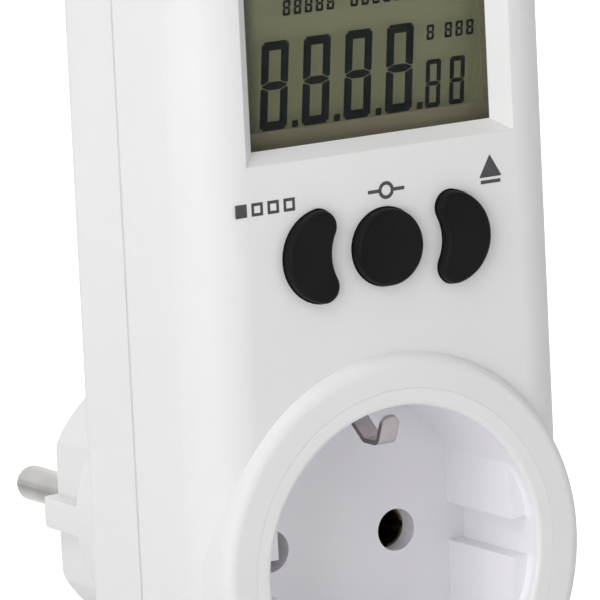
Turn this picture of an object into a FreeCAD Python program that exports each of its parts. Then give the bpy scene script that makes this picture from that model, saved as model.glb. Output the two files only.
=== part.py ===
"""Plug-through energy cost meter: earthed plug behind, round socket in front, display and keys above."""
import FreeCAD
import Part
import math
import os

V = FreeCAD.Vector

# Plug at the back, to the household standard
pin_diameter = 4.8
pin_length = 19.0
pin_spacing = 19.0
pin_tip_rounding = 1.9
pin_shank_step = 0.2
pin_dish_margin = 1.1
pin_dish_depth = 0.3
spigot_radius = 18.2
spigot_length = 26.4
spigot_wall = 4.0
spigot_face_thickness = 4.0
spigot_flat_inset = 2.6
spigot_flat_length = 9.0
spigot_edge_rounding = 1.0
guide_rib_height = 4.0

# Bowl of the socket, to the same standard
bowl_radius = 19.9
bowl_depth = 17.5
bowl_wall = 2.2
bowl_floor = 2.8
bowl_rim_rounding = 0.7
bowl_flat_inset = 2.5
bowl_flat_setback = 2.4
bowl_groove_height = 5.0
socket_hole_diameter = 5.5
insert_flange_thickness = 1.6
insert_flange_width = 1.0
insert_flange_depth = 8.6
insert_lug_reach = 2.7
insert_screw_count = 4
insert_screw_angle = 45.0
clip_slot_width = 4.2
clip_slot_inside = 0.4
clip_slot_outside = 0.8

# Collar round the bowl
collar_ring = 4.5
collar_height = 1.6
collar_draft = 0.5
collar_rounding = 1.5
collar_face_thickness = 2.0
collar_run_in = 9.5

# Case
case_side_margin = 0.5
window_side_margin = 9.2
case_bottom_margin = 2.4
case_top_margin = 10.4
front_depth = 18.4
rear_depth = 14.2
case_wall = 2.2
case_corner = 10.0
front_rounding = 7.0
rear_rounding = 3.0
seam_tongue_depth = 1.6
seam_tongue_thickness = 1.0
seam_groove_width = 0.5
seam_groove_depth = 0.35

# Earth parts
clip_width = 2.6
clip_thickness = 0.6
clip_bend = 0.8
clip_end_rounding = 1.1
clip_crest_inset = 1.5
clip_crest_depth = 11.4
clip_vertex_inset = 5.4
clip_vertex_depth = 7.0
clip_vertex_run = 3.2
clip_tip_inset = 1.5
clip_tip_depth = 2.3
strap_width = 4.4
strap_thickness = 0.8
strap_bend = 0.7
strap_half_length = 15.5
strap_corner = 1.3
rivet_radius = 1.0
rivet_head_radius = 1.9
rivet_head_height = 0.7
rivet_height = 9.6
plug_contact_inset = 1.1
plug_contact_bulge = 0.6
plug_contact_slot_width = 6.4
plug_contact_slot_depth = 2.4
plug_contact_run_gap = 1.3

# Live and neutral parts
sleeve_wall = 0.7
sleeve_base = 1.4
sleeve_slit = 0.8
sleeve_slit_length = 11.0
sleeve_play = 0.4
pin_shoulder_radius = 3.5
pin_shoulder_thickness = 1.6
pin_tail_radius = 1.6
pin_boss_radius = 4.2
pin_boss_length = 11.0
carrier_plate_thickness = 2.0
carrier_plate_height = 12.0
carrier_plate_corner = 3.6
carrier_side_margin = 5.6
carrier_screw_margin = 2.2
carrier_tube_wall = 1.1
carrier_rib_thickness = 1.1
carrier_rib_height = 3.0
shunt_thickness = 0.5
shunt_gap = 0.7
shunt_width = 3.1
shunt_drop = 7.4
riser_width = 3.5
riser_height = 7.2
riser_back = 9.2

# Keys
key_row_margin = 13.6
key_proud = 1.6
key_travel = 0.8
key_flange = 0.7
key_flange_thickness = 1.0
key_edge_rounding = 0.7
round_key_radius = 4.9
side_key_outer = 15.05
side_key_waist = 8.6
side_key_lobe = 2.1
side_key_lobe_spread = 3.8
side_key_lobe_place = 9.8
key_stem_inset = 1.3
pill_thickness = 0.6
pill_radius = 1.5
pill_place = 11.9
mat_thickness = 1.0
mat_width = 37.0
mat_height = 18.4
mat_corner = 3.0
mat_collar_height = 2.6
mat_collar_wall = 0.7

# Window and display
window_width = 35.4
window_height = 28.0
window_rise = 13.9
window_bevel_side = 2.1
window_bevel_end = 1.5
pane_margin = 1.9
pane_thickness = 1.0
pane_corner = 0.5
pane_frame_wall = 1.0
pane_frame_height = 3.2
glass_thickness = 1.1
glass_margin = 1.75
glass_ledge = 3.0
glass_gap = 0.3
reflector_thickness = 0.3
holder_margin = 2.1
holder_wall = 2.4
zebra_height = 2.0
zebra_inset = 2.2

# Circuit board and what stands on it
board_front = 13.0
board_thickness = 1.6
board_side_gap = 0.8
board_drop = 11.6
board_rise = 0.9
board_corner = 1.5
board_post_side = 2.1
board_post_bottom = 3.0
board_post_top = 5.0
board_post_radius = 2.0
board_tab_rise = 1.4
chip_size = 10.0
chip_gap = 0.2
chip_height = 6.0
chip_thickness = 1.6
chip_standoff = 0.15
chip_lead_count = 7
chip_lead_width = 0.4
chip_lead_thickness = 0.3
chip_lead_reach = 1.35
dropper_length = 18.0
dropper_width = 8.5
dropper_height = 13.0
dropper_rounding = 0.6
dropper_rise = 11.9
electrolytic_radius = 4.0
electrolytic_length = 11.5
electrolytic_edge = 0.5
electrolytic_groove_radius = 0.6
electrolytic_groove_place = 1.6
electrolytic_rise = 18.7
varistor_radius = 5.0
varistor_thickness = 3.6
varistor_edge = 1.4
varistor_standoff = 1.2
varistor_lead_spread = 2.5
cell_radius = 5.75
cell_length = 16.2
cell_count = 3
cell_rim = 0.4
cell_drop = 9.2
crystal_radius = 1.5
crystal_length = 8.0
crystal_edge = 0.4
resistor_radius = 1.2
resistor_length = 6.5
resistor_edge = 0.5
resistor_pitch = 4.5
resistor_count = 4
resistor_gap = 0.2
lead_radius = 0.3
lead_reach = 1.5

# Screws
case_screw_radius = 1.45
case_screw_head_radius = 2.8
case_screw_head_height = 2.0
case_screw_length = 20.0
case_screw_sink = 6.0
case_screw_side = 6.1
case_screw_bottom = 6.4
case_screw_top = 5.3
case_boss_radius = 3.2
small_screw_radius = 1.1
small_screw_head_radius = 2.0
small_screw_head_height = 1.3
small_screw_length = 6.0
small_post_radius = 2.4
screw_point_share = 0.3
screw_crown_share = 0.33
drive_slot_share = 0.6
drive_slot_width = 0.6
drive_slot_depth = 0.7

# Clearances
fit_gap = 0.1
slide_gap = 0.2
screw_gap = 0.05
cut_margin = 1.0
tolerance = 1e-4

# Levels along Y: the plug's face is the origin, and the front is at negative Y
y_rear = -spigot_length
y_seam = y_rear - rear_depth
y_front = y_seam - front_depth
y_front_inside = y_front + case_wall
y_collar = y_front - collar_height
y_floor = y_collar + bowl_depth
y_floor_back = y_floor + bowl_floor
y_flange = y_front + insert_flange_depth
y_clip_back = y_floor_back + clip_thickness
y_strap_back = y_clip_back + strap_thickness
y_contact_back = y_strap_back + strap_thickness
y_carrier = y_contact_back + fit_gap
y_sleeve_back = y_floor + pin_length + sleeve_play + sleeve_base
y_strap_end = y_sleeve_back + strap_thickness
y_board = y_front + board_front
y_board_back = y_board + board_thickness
y_glass = y_front_inside + pane_thickness + glass_gap
y_glass_middle = y_glass + glass_thickness
y_glass_back = y_glass_middle + glass_thickness
y_holder = y_glass_back + reflector_thickness
y_case_screw = y_rear - case_screw_sink
y_pin_boss = -spigot_face_thickness - pin_boss_length

# Places across and up: the bowl sets the collar, the collar sets the case, keys and window stand above
half_pins = pin_spacing / 2
pin_radius = pin_diameter / 2
pin_shank_radius = pin_radius - pin_shank_step
sleeve_bore = pin_radius + fit_gap
sleeve_radius = sleeve_bore + sleeve_wall
carrier_tube = sleeve_radius + fit_gap
insert_radius = bowl_radius + bowl_wall
insert_screw_circle = insert_radius + insert_lug_reach
collar_radius = insert_radius + collar_ring
half_case = max(collar_radius + case_side_margin, window_width / 2 + window_side_margin)
case_bottom = -collar_radius - case_bottom_margin
key_row_height = collar_radius + key_row_margin
window_bottom = key_row_height + window_rise
window_top = window_bottom + window_height
case_top = window_top + case_top_margin
clip_crest_height = bowl_radius - clip_crest_inset
clip_vertex_height = bowl_radius - clip_vertex_inset
clip_tip_height = bowl_radius - clip_tip_inset
plug_contact_height = spigot_radius - plug_contact_inset
plug_contact_slot_floor = spigot_radius - plug_contact_slot_depth
plug_contact_run_height = spigot_radius - spigot_wall - plug_contact_run_gap
y_plug_contact = y_rear + 2 * case_wall
carrier_half_width = half_pins + carrier_tube + carrier_tube_wall + carrier_side_margin
carrier_screw_place = carrier_half_width - carrier_screw_margin
glass_half = window_width / 2 + glass_margin
glass_low = window_bottom - glass_margin
glass_high = window_top + glass_margin
zebra_low = glass_low + (glass_ledge - zebra_height) / 2
board_half = half_case - case_wall - board_side_gap
board_bottom = key_row_height - board_drop
board_top = window_top + board_rise
board_tab_height = board_bottom + board_tab_rise
cell_place = window_top - cell_drop
chip_place = cell_place - cell_radius - chip_gap - chip_height / 2
resistor_place = chip_place - chip_height / 2 - resistor_gap - resistor_length / 2


def box(x0, x1, y0, y1, z0, z1):
    """Plain box between two corners."""
    return Part.makeBox(x1 - x0, y1 - y0, z1 - z0, V(x0, y0, z0))


def rod(radius, y0, y1, x=0.0, z=0.0):
    """Cylinder along Y."""
    return Part.makeCylinder(radius, y1 - y0, V(x, y0, z), V(0, 1, 0))


def cone(radius0, radius1, y0, y1, x=0.0, z=0.0):
    """Cone along Y."""
    return Part.makeCone(radius0, radius1, y1 - y0, V(x, y0, z), V(0, 1, 0))


def join(shapes):
    """Fuse a list into one clean solid."""
    shape = shapes[0]
    for other in shapes[1:]:
        shape = shape.fuse(other)
    return shape.removeSplitter()


def rounded_face(x_half, z0, z1, corner, y):
    """Upright rectangle with round corners, in the plane at y."""
    a, b = x_half - corner, corner * (1 - math.sqrt(0.5))
    edges = [Part.LineSegment(V(-a, y, z0), V(a, y, z0)).toShape(),
             Part.Arc(V(a, y, z0), V(x_half - b, y, z0 + b), V(x_half, y, z0 + corner)).toShape(),
             Part.LineSegment(V(x_half, y, z0 + corner), V(x_half, y, z1 - corner)).toShape(),
             Part.Arc(V(x_half, y, z1 - corner), V(x_half - b, y, z1 - b), V(a, y, z1)).toShape(),
             Part.LineSegment(V(a, y, z1), V(-a, y, z1)).toShape(),
             Part.Arc(V(-a, y, z1), V(-x_half + b, y, z1 - b), V(-x_half, y, z1 - corner)).toShape(),
             Part.LineSegment(V(-x_half, y, z1 - corner), V(-x_half, y, z0 + corner)).toShape(),
             Part.Arc(V(-x_half, y, z0 + corner), V(-x_half + b, y, z0 + b), V(-a, y, z0)).toShape()]
    return Part.Face(Part.Wire(edges))


def case_block(inset, y0, y1):
    """The case's outline, drawn in by an inset, between two levels."""
    face = rounded_face(half_case - inset, case_bottom + inset, case_top - inset, case_corner - inset, y0)
    return face.extrude(V(0, y1 - y0, 0))


def edges_at(shape, y):
    """Edges that lie wholly in the plane at y."""
    return [e for e in shape.Edges
            if abs(e.BoundBox.YMin - y) < tolerance and abs(e.BoundBox.YMax - y) < tolerance]


def edges_through(shape, thickness):
    """Edges that run through a flat plate's whole thickness."""
    return [e for e in shape.Edges if e.BoundBox.YLength > thickness - tolerance]


def rims(shape):
    """Circular edges of a round piece."""
    return [e for e in shape.Edges if isinstance(e.Curve, Part.Circle)]


def turned(points):
    """Solid of revolution about Y from (radius, y) points."""
    wire = Part.makePolygon([V(r, y, 0) for r, y in points + points[:1]])
    return Part.Face(wire).revolve(V(0, 0, 0), V(0, 1, 0), 360)


def ribbon(points, thickness, bend, width, middle):
    """Strip of bent sheet metal: (y, z) points down its middle, with a round at each bend."""
    path = [V(0, y, z) for y, z in points]
    across = V(1, 0, 0)
    ways = [(b - a).normalize() for a, b in zip(path, path[1:])]
    sides = {1: [], -1: []}
    for side in sides:
        last = path[0] + across.cross(ways[0]) * (side * thickness / 2)
        for corner, way, after in zip(path[1:-1], ways, ways[1:]):
            turn = math.copysign(1, way.cross(after).dot(across))
            mean = bend + thickness / 2
            reach = mean * math.tan(way.getAngle(after) / 2)
            start_normal = across.cross(way) * turn
            end_normal = across.cross(after) * turn
            centre = corner - way * reach + start_normal * mean
            radius = mean - turn * side * thickness / 2
            start = centre - start_normal * radius
            end = centre - end_normal * radius
            middle_way = (start_normal + end_normal).normalize()
            sides[side].append(Part.LineSegment(last, start).toShape())
            sides[side].append(Part.Arc(start, centre - middle_way * radius, end).toShape())
            last = end
        finish = path[-1] + across.cross(ways[-1]) * (side * thickness / 2)
        sides[side].append(Part.LineSegment(last, finish).toShape())
    caps = []
    for vertex in (0, -1):
        ends = [sides[side][vertex].Vertexes[vertex].Point for side in (1, -1)]
        caps.append(Part.LineSegment(ends[0], ends[1]).toShape())
    wire = Part.Wire(Part.__sortEdges__(sides[1] + sides[-1] + caps))
    strip = Part.Face(wire).extrude(V(width, 0, 0))
    strip.translate(V(middle - width / 2, 0, 0))
    return strip


def mirrored(shape):
    """The same shape on the lower side."""
    return shape.mirror(V(0, 0, 0), V(0, 0, 1))


def side_key_face(side, grow, y):
    """Kidney outline of a side key, grown all round, hollow towards the middle key."""
    place, spread, lobe = side_key_lobe_place, side_key_lobe_spread, side_key_lobe
    limit = side_key_outer - lobe
    outer_centre = (limit ** 2 - place ** 2 - spread ** 2) / (2 * (limit - place))
    limit = side_key_waist + lobe
    inner_centre = (limit ** 2 - place ** 2 - spread ** 2) / (2 * (limit - place))
    outer = side_key_outer - outer_centre + grow
    inner = side_key_waist - inner_centre - grow
    lobe += grow

    def at(centre, radius, way):
        return V(side * (centre[0] + radius * way[0]), y, key_row_height + centre[1] + radius * way[1])

    def way_from(centre, up):
        gap = V(place - centre, up * spread, 0).normalize()
        return gap.x, gap.y

    low, high = (place, -spread), (place, spread)
    out_low, out_high = way_from(outer_centre, -1), way_from(outer_centre, 1)
    in_low, in_high = way_from(inner_centre, -1), way_from(inner_centre, 1)
    back_low, back_high = (-in_low[0], -in_low[1]), (-in_high[0], -in_high[1])
    tip_low = V(out_low[0] + back_low[0], out_low[1] + back_low[1], 0).normalize()
    tip_high = V(out_high[0] + back_high[0], out_high[1] + back_high[1], 0).normalize()
    edges = [Part.Arc(at(low, lobe, out_low), at((outer_centre, 0), outer, (1, 0)), at(high, lobe, out_high)),
             Part.Arc(at(high, lobe, out_high), at(high, lobe, (tip_high.x, tip_high.y)),
                      at(high, lobe, back_high)),
             Part.Arc(at(high, lobe, back_high), at((inner_centre, 0), inner, (1, 0)),
                      at(low, lobe, back_low)),
             Part.Arc(at(low, lobe, back_low), at(low, lobe, (tip_low.x, tip_low.y)), at(low, lobe, out_low))]
    return Part.Face(Part.Wire([e.toShape() for e in edges]))


def key_block(side, grow, y0, y1):
    """A key's outline, grown by an amount, between two levels; side 0 is the round middle key."""
    if side == 0:
        return rod(round_key_radius + grow, y0, y1, 0, key_row_height)
    return side_key_face(side, grow, y0).extrude(V(0, y1 - y0, 0))


def screw(radius, length, head_radius, head_height, x, y_seat, z):
    """Pan-head screw driven towards -Y, with a cross slot in its head."""
    middle = y_seat + head_height / 2
    head = rod(head_radius, y_seat, middle, x, z)
    crown_radius = head_radius - head_height * screw_crown_share
    crown = cone(head_radius, crown_radius, middle, y_seat + head_height, x, z)
    shank = rod(radius, y_seat - length + radius, y_seat, x, z)
    point = cone(radius * screw_point_share, radius, y_seat - length, y_seat - length + radius, x, z)
    solid = join([head, crown, shank, point])
    arm = head_radius * drive_slot_share
    half = drive_slot_width / 2
    floor, top = y_seat + head_height - drive_slot_depth, y_seat + head_height + cut_margin
    cross = box(x - arm, x + arm, floor, top, z - half, z + half)
    cross = cross.fuse(box(x - half, x + half, floor, top, z - arm, z + arm))
    return solid.cut(cross)


case_screw_places = [(side * (half_case - case_screw_side), z) for side in (-1, 1)
                     for z in (case_bottom + case_screw_bottom, case_top - case_screw_top)]
insert_screw_angles = [math.radians(insert_screw_angle + 360 * i / insert_screw_count)
                       for i in range(insert_screw_count)]
insert_screw_places = [(insert_screw_circle * math.cos(angle), insert_screw_circle * math.sin(angle))
                       for angle in insert_screw_angles]
board_screw_places = [(side * (board_half - board_post_side), z) for side in (-1, 1)
                      for z in (board_bottom + board_post_bottom, board_top - board_post_top)]


def front_cover():
    """Front shell with collar, window frame, key holes, screw bosses and posts."""
    outer = case_block(0, y_front, y_seam)
    outer = outer.makeFillet(front_rounding, edges_at(outer, y_front))
    collar_top = collar_radius - collar_draft
    collar = cone(collar_top, collar_radius, y_collar, y_front).fuse(
        rod(collar_radius, y_front, y_front + collar_run_in)).removeSplitter()
    collar = collar.makeFillet(collar_rounding, edges_at(collar, y_collar))
    inner = case_block(case_wall, y_front_inside, y_seam + cut_margin)
    inner = inner.makeFillet(front_rounding - case_wall, edges_at(inner, y_front_inside))
    keep_in = half_case - case_wall
    hollow = rod(collar_top - case_wall, y_collar + collar_face_thickness, y_front + collar_run_in)
    hollow = hollow.common(box(-keep_in, keep_in, y_collar, y_seam, -collar_radius, collar_radius))
    shell = join([outer, collar]).cut(join([inner, hollow]))
    adds = []
    for x, z in case_screw_places:
        adds.append(rod(case_boss_radius, y_front_inside - case_wall / 2, y_seam, x, z).common(outer))
    for x, z in insert_screw_places:
        adds.append(rod(small_post_radius, y_front_inside - case_wall / 2, y_flange, x, z).common(outer))
    for x, z in board_screw_places:
        adds.append(rod(board_post_radius, y_front_inside - case_wall / 2, y_board, x, z).common(outer))
    half, low, high = pane_outline(fit_gap)
    wall = pane_frame_wall
    ring = box(-half - wall, half + wall, y_front_inside - case_wall / 2, y_front_inside + pane_frame_height,
               low - wall, high + wall)
    adds.append(ring.common(outer))
    shell = join([shell] + adds)
    cuts = [box(-half, half, y_front_inside, y_seam, low, high), window_cut()]
    cuts.append(rod(insert_radius + fit_gap, y_collar - cut_margin, y_seam))
    tongue = seam_tongue_thickness + fit_gap
    lip = case_block(case_wall - tongue, y_seam - seam_tongue_depth - fit_gap, y_seam + cut_margin)
    cuts.append(lip)
    for side in (-1, 0, 1):
        cuts.append(key_block(side, slide_gap, y_front - cut_margin, y_front_inside + cut_margin))
    for x, z in case_screw_places:
        cuts.append(rod(case_screw_radius + screw_gap, y_case_screw - case_screw_length - cut_margin,
                        y_seam + cut_margin, x, z))
    for x, z in insert_screw_places:
        cuts.append(rod(small_screw_radius + screw_gap, y_flange - small_screw_length,
                        y_flange + cut_margin, x, z))
    for x, z in board_screw_places:
        cuts.append(rod(small_screw_radius + screw_gap, y_board - small_screw_length,
                        y_board + cut_margin, x, z))
    for cut in cuts:
        shell = shell.cut(cut)
    return shell.removeSplitter()


def pane_outline(grow):
    """Half width, low and high edges of the clear pane, grown by an amount."""
    return (window_width / 2 + pane_margin + grow, window_bottom - pane_margin - grow,
            window_top + pane_margin + grow)


def window_cut():
    """Bevelled window opening, wider at the front."""
    half = window_width / 2
    back = Part.makePolygon([V(x, y_front_inside, z) for x, z in
                             ((-half, window_bottom), (half, window_bottom), (half, window_top),
                              (-half, window_top), (-half, window_bottom))])
    half += window_bevel_side
    low, high = window_bottom - window_bevel_end, window_top + window_bevel_end
    front = Part.makePolygon([V(x, y_front, z) for x, z in
                              ((-half, low), (half, low), (half, high), (-half, high), (-half, low))])
    bevel = Part.makeLoft([front, back], True, True)
    ahead = box(-half, half, y_front - cut_margin, y_front, low, high)
    behind = box(-window_width / 2, window_width / 2, y_front_inside, y_front_inside + cut_margin,
                 window_bottom, window_top)
    return join([bevel, ahead, behind])


def rear_cover():
    """Rear shell with the plug spigot moulded on it, pin bosses, earth slots and screw wells."""
    outer = case_block(0, y_seam, y_rear)
    outer = outer.makeFillet(rear_rounding, edges_at(outer, y_rear))
    groove = case_block(0, y_seam, y_seam + seam_groove_width)
    groove = groove.cut(case_block(seam_groove_depth, y_seam - cut_margin,
                                   y_seam + seam_groove_width + cut_margin))
    inner = case_block(case_wall, y_seam - cut_margin, y_rear - case_wall)
    tongue = case_block(case_wall - seam_tongue_thickness, y_seam - seam_tongue_depth, y_seam + cut_margin)
    tongue = tongue.cut(case_block(case_wall, y_seam - seam_tongue_depth - cut_margin,
                                   y_seam + 2 * cut_margin))
    spigot = spigot_body()
    hollow = rod(spigot_radius - spigot_wall, y_rear - case_wall - cut_margin, -spigot_face_thickness)
    shell = join([outer.cut(groove), spigot]).cut(inner).cut(hollow)
    adds = [tongue]
    for x, z in case_screw_places:
        adds.append(rod(case_boss_radius, y_seam, y_rear - case_wall / 2, x, z).common(outer))
    for x in (-half_pins, half_pins):
        adds.append(rod(pin_boss_radius, y_pin_boss, -spigot_face_thickness / 2, x))
    shell = join([shell] + adds)
    cuts = []
    for x, z in case_screw_places:
        cuts.append(rod(case_screw_radius + slide_gap, y_seam - cut_margin, y_rear, x, z))
        cuts.append(rod(case_screw_head_radius + slide_gap, y_case_screw, y_rear + cut_margin, x, z))
        lobe = rod(case_boss_radius + slide_gap, y_seam - seam_tongue_depth - cut_margin, y_seam, x, z)
        cuts.append(lobe)
    for x in (-half_pins, half_pins):
        cuts.append(rod(pin_shank_radius + screw_gap, y_pin_boss - cut_margin, cut_margin, x))
        cuts.append(rod(pin_radius + pin_dish_margin, -pin_dish_depth, cut_margin, x))
    slot = earth_slot()
    cuts += [slot, mirrored(slot)]
    for cut in cuts:
        shell = shell.cut(cut)
    return shell.removeSplitter()


def spigot_body():
    """Round spigot with a flat and a guide rib on each side near its face."""
    body = rod(spigot_radius, y_rear - case_wall / 2, 0)
    body = body.makeFillet(spigot_edge_rounding, edges_at(body, 0))
    half = spigot_radius - spigot_flat_inset
    rib = guide_rib_height / 2
    reach = spigot_radius + cut_margin
    for side in (-1, 1):
        x0, x1 = sorted((side * half, side * reach))
        for z0, z1 in ((-reach, -rib), (rib, reach)):
            body = body.cut(box(x0, x1, -spigot_flat_length, cut_margin, z0, z1))
    return body


def earth_slot():
    """Recess along the top of the spigot for the earth contact, with the way through its wall."""
    half = plug_contact_slot_width / 2
    floor = plug_contact_slot_floor
    recess = box(-half, half, y_plug_contact - slide_gap * 2, cut_margin, floor, spigot_radius + cut_margin)
    way = strap_thickness + slide_gap * 4
    through = box(-half, half, y_plug_contact - slide_gap * 2, y_plug_contact + way,
                  plug_contact_run_height - way, floor + cut_margin)
    return recess.fuse(through)


def case_screws():
    """Four screws that hold the two shells together, driven from the back."""
    return [screw(case_screw_radius, case_screw_length, case_screw_head_radius, case_screw_head_height,
                  x, y_case_screw, z) for x, z in case_screw_places]


def socket_insert():
    """Bowl of the socket: round wall, floor with two holes, side flats with a groove, clip slots."""
    rim = bowl_rim_rounding
    flange = insert_radius + insert_flange_width
    flange_back = y_flange + insert_flange_thickness
    bowl = turned([(0, y_floor), (bowl_radius, y_floor), (bowl_radius, y_collar), (insert_radius, y_collar),
                   (insert_radius, y_flange), (flange, y_flange), (flange, flange_back),
                   (insert_radius, flange_back), (insert_radius, y_floor_back), (0, y_floor_back)])
    mouth = [e for e in edges_at(bowl, y_collar) if abs(e.BoundBox.XMax - bowl_radius) < tolerance]
    bowl = bowl.makeFillet(rim, mouth)
    half = bowl_radius - bowl_flat_inset
    groove = bowl_groove_height / 2
    disc = rod(bowl_radius + bowl_wall / 2, y_collar + bowl_flat_setback, y_floor + bowl_floor / 2)
    pads = []
    for side in (-1, 1):
        for up in (-1, 1):
            x0, x1 = sorted((side * half, side * insert_radius))
            z0, z1 = sorted((up * groove, up * insert_radius))
            pads.append(disc.common(box(x0, x1, y_collar, y_floor_back, z0, z1)))
    lugs = []
    for x, z in insert_screw_places:
        lug = rod(small_post_radius, y_flange, y_flange + insert_flange_thickness, x, z)
        root = V(x, 0, z).normalize() * (insert_radius - slide_gap)
        web = Part.makeBox(2 * small_post_radius, insert_flange_thickness, insert_lug_reach)
        web.translate(V(-small_post_radius, y_flange, 0))
        web.rotate(V(0, 0, 0), V(0, 1, 0), math.degrees(math.atan2(root.x, root.z)))
        web.translate(root)
        lugs += [lug, web]
    posts = [rod(small_post_radius, y_floor_back - bowl_floor / 2, y_carrier, x)
             for x in (-carrier_screw_place, carrier_screw_place)]
    bowl = join([bowl] + pads + lugs + posts)
    cuts = []
    for x in (-half_pins, half_pins):
        cuts.append(rod(socket_hole_diameter / 2, y_floor - cut_margin, y_floor_back + cut_margin, x))
    for x, z in insert_screw_places:
        cuts.append(rod(small_screw_radius + slide_gap, y_flange - cut_margin,
                        flange_back + cut_margin, x, z))
    for x in (-carrier_screw_place, carrier_screw_place):
        depth = small_screw_length - carrier_plate_thickness + screw_gap
        cuts.append(rod(small_screw_radius + screw_gap, y_carrier - depth, y_carrier + cut_margin, x))
    slot = box(-clip_slot_width / 2, clip_slot_width / 2, y_floor - cut_margin, y_floor_back + cut_margin,
               clip_vertex_height - clip_slot_inside, clip_crest_height + clip_slot_outside)
    cuts += [slot, mirrored(slot)]
    pocket = rod(rivet_head_radius + fit_gap, y_floor_back - rivet_head_height - fit_gap,
                 y_floor_back + cut_margin, 0, rivet_height)
    cuts += [pocket, mirrored(pocket)]
    for cut in cuts:
        bowl = bowl.cut(cut)
    return bowl.removeSplitter()


def insert_screws():
    """Four screws that hold the bowl to the front shell."""
    seat = y_flange + insert_flange_thickness
    return [screw(small_screw_radius, small_screw_length, small_screw_head_radius, small_screw_head_height,
                  x, seat, z) for x, z in insert_screw_places]


def carrier_screws():
    """Two screws that hold the contact carrier to the back of the bowl."""
    seat = y_carrier + carrier_plate_thickness
    return [screw(small_screw_radius, small_screw_length, small_screw_head_radius, small_screw_head_height,
                  x, seat, 0) for x in (-carrier_screw_place, carrier_screw_place)]


def board_screws():
    """Four screws that hold the circuit board to the posts of the front shell."""
    return [screw(small_screw_radius, small_screw_length, small_screw_head_radius, small_screw_head_height,
                  x, y_board_back, z) for x, z in board_screw_places]


def earth_clip():
    """Sprung earth clip of the socket: foot behind the floor, crest, inward vertex and turned-out tip."""
    half = clip_thickness / 2
    y_foot = y_floor_back + half
    y_vertex = y_collar + clip_vertex_depth
    points = [(y_foot, rivet_height - rivet_head_radius), (y_foot, clip_crest_height - half),
              (y_collar + clip_crest_depth, clip_crest_height - half),
              (y_vertex, clip_vertex_height + half), (y_vertex - clip_vertex_run, clip_vertex_height + half),
              (y_collar + clip_tip_depth, clip_tip_height)]
    strip = ribbon(points, clip_thickness, clip_bend, clip_width, 0)
    tip = V(0, y_collar + clip_tip_depth, clip_tip_height)
    corners = [e for e in strip.Edges if abs(e.Length - clip_thickness) < tolerance
               and (e.CenterOfMass - tip).Length < clip_width]
    strip = strip.makeFillet(clip_end_rounding, corners)
    return strip.cut(rod(rivet_radius + screw_gap, y_floor_back - cut_margin, y_clip_back + cut_margin,
                         0, rivet_height))


def earth_strap():
    """Flat bar behind the bowl that joins the upper and lower earth parts."""
    half = strap_width / 2
    bar = box(-half, half, y_clip_back, y_strap_back, -strap_half_length, strap_half_length)
    bar = bar.makeFillet(strap_corner, edges_through(bar, strap_thickness))
    for z in (-rivet_height, rivet_height):
        bar = bar.cut(rod(rivet_radius + screw_gap, y_clip_back - cut_margin,
                          y_strap_back + cut_margin, 0, z))
    return bar


def earth_rivets():
    """Rivets through each clip foot, the bar and the plug contact's foot."""
    rivets = []
    crown = rivet_head_radius - rivet_head_height
    for z in (-rivet_height, rivet_height):
        shank = rod(rivet_radius, y_floor_back, y_contact_back, 0, z)
        front = cone(crown, rivet_head_radius, y_floor_back - rivet_head_height, y_floor_back, 0, z)
        back = cone(rivet_head_radius, crown, y_contact_back, y_contact_back + rivet_head_height, 0, z)
        rivets.append(join([front, shank, back]))
    return rivets


def plug_earth_contact():
    """Earth contact of the plug: foot on the bar, run into the spigot, and a bowed strip along its top."""
    y_foot = y_strap_back + strap_thickness / 2
    out = y_plug_contact + strap_thickness / 2
    crown = plug_contact_height + plug_contact_bulge
    points = [(y_foot, rivet_height - rivet_head_radius), (y_foot, plug_contact_run_height),
              (out, plug_contact_run_height), (out, plug_contact_height),
              (out / 2, crown), (-spigot_edge_rounding - strap_thickness, plug_contact_slot_floor
                                   + strap_thickness / 2 + fit_gap)]
    strip = ribbon(points, strap_thickness, strap_bend, strap_width, 0)
    return strip.cut(rod(rivet_radius + screw_gap, y_strap_back - cut_margin, y_contact_back + cut_margin,
                         0, rivet_height))


def plug_pin(x, y_end):
    """Solid round pin with a domed tip; a thinner shank in the moulding, a shoulder behind it and a tail."""
    pin = rod(pin_radius, 0, pin_length, x)
    pin = pin.makeFillet(pin_tip_rounding, edges_at(pin, pin_length))
    shank = rod(pin_shank_radius, y_pin_boss - pin_shoulder_thickness / 2, pin_length / 2, x)
    shoulder = rod(pin_shoulder_radius, y_pin_boss - pin_shoulder_thickness, y_pin_boss, x)
    tail = rod(pin_tail_radius, y_end, y_pin_boss, x)
    return join([pin, shank, shoulder, tail])


def contact_sleeve(x):
    """Split sleeve behind a socket hole, closed at the back, with four spring slits at its mouth."""
    mouth = y_floor_back + fit_gap
    sleeve = rod(sleeve_radius, mouth, y_sleeve_back, x)
    sleeve = sleeve.cut(rod(sleeve_bore, mouth - cut_margin, y_sleeve_back - sleeve_base, x))
    half, reach = sleeve_slit / 2, sleeve_radius + cut_margin
    end = mouth + sleeve_slit_length
    sleeve = sleeve.cut(box(x - reach, x + reach, mouth - cut_margin, end, -half, half))
    return sleeve.cut(box(x - half, x + half, mouth - cut_margin, end, -reach, reach))


def riser(x):
    """Strap from the back of a contact sleeve, up and forward to the circuit board."""
    middle = y_sleeve_back + strap_thickness / 2
    back = y_rear - riser_back
    points = [(middle, -sleeve_radius), (middle, riser_height), (back, riser_height),
              (back, board_tab_height), (y_board - fit_gap, board_tab_height)]
    return ribbon(points, strap_thickness, strap_bend, riser_width, x)


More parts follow.
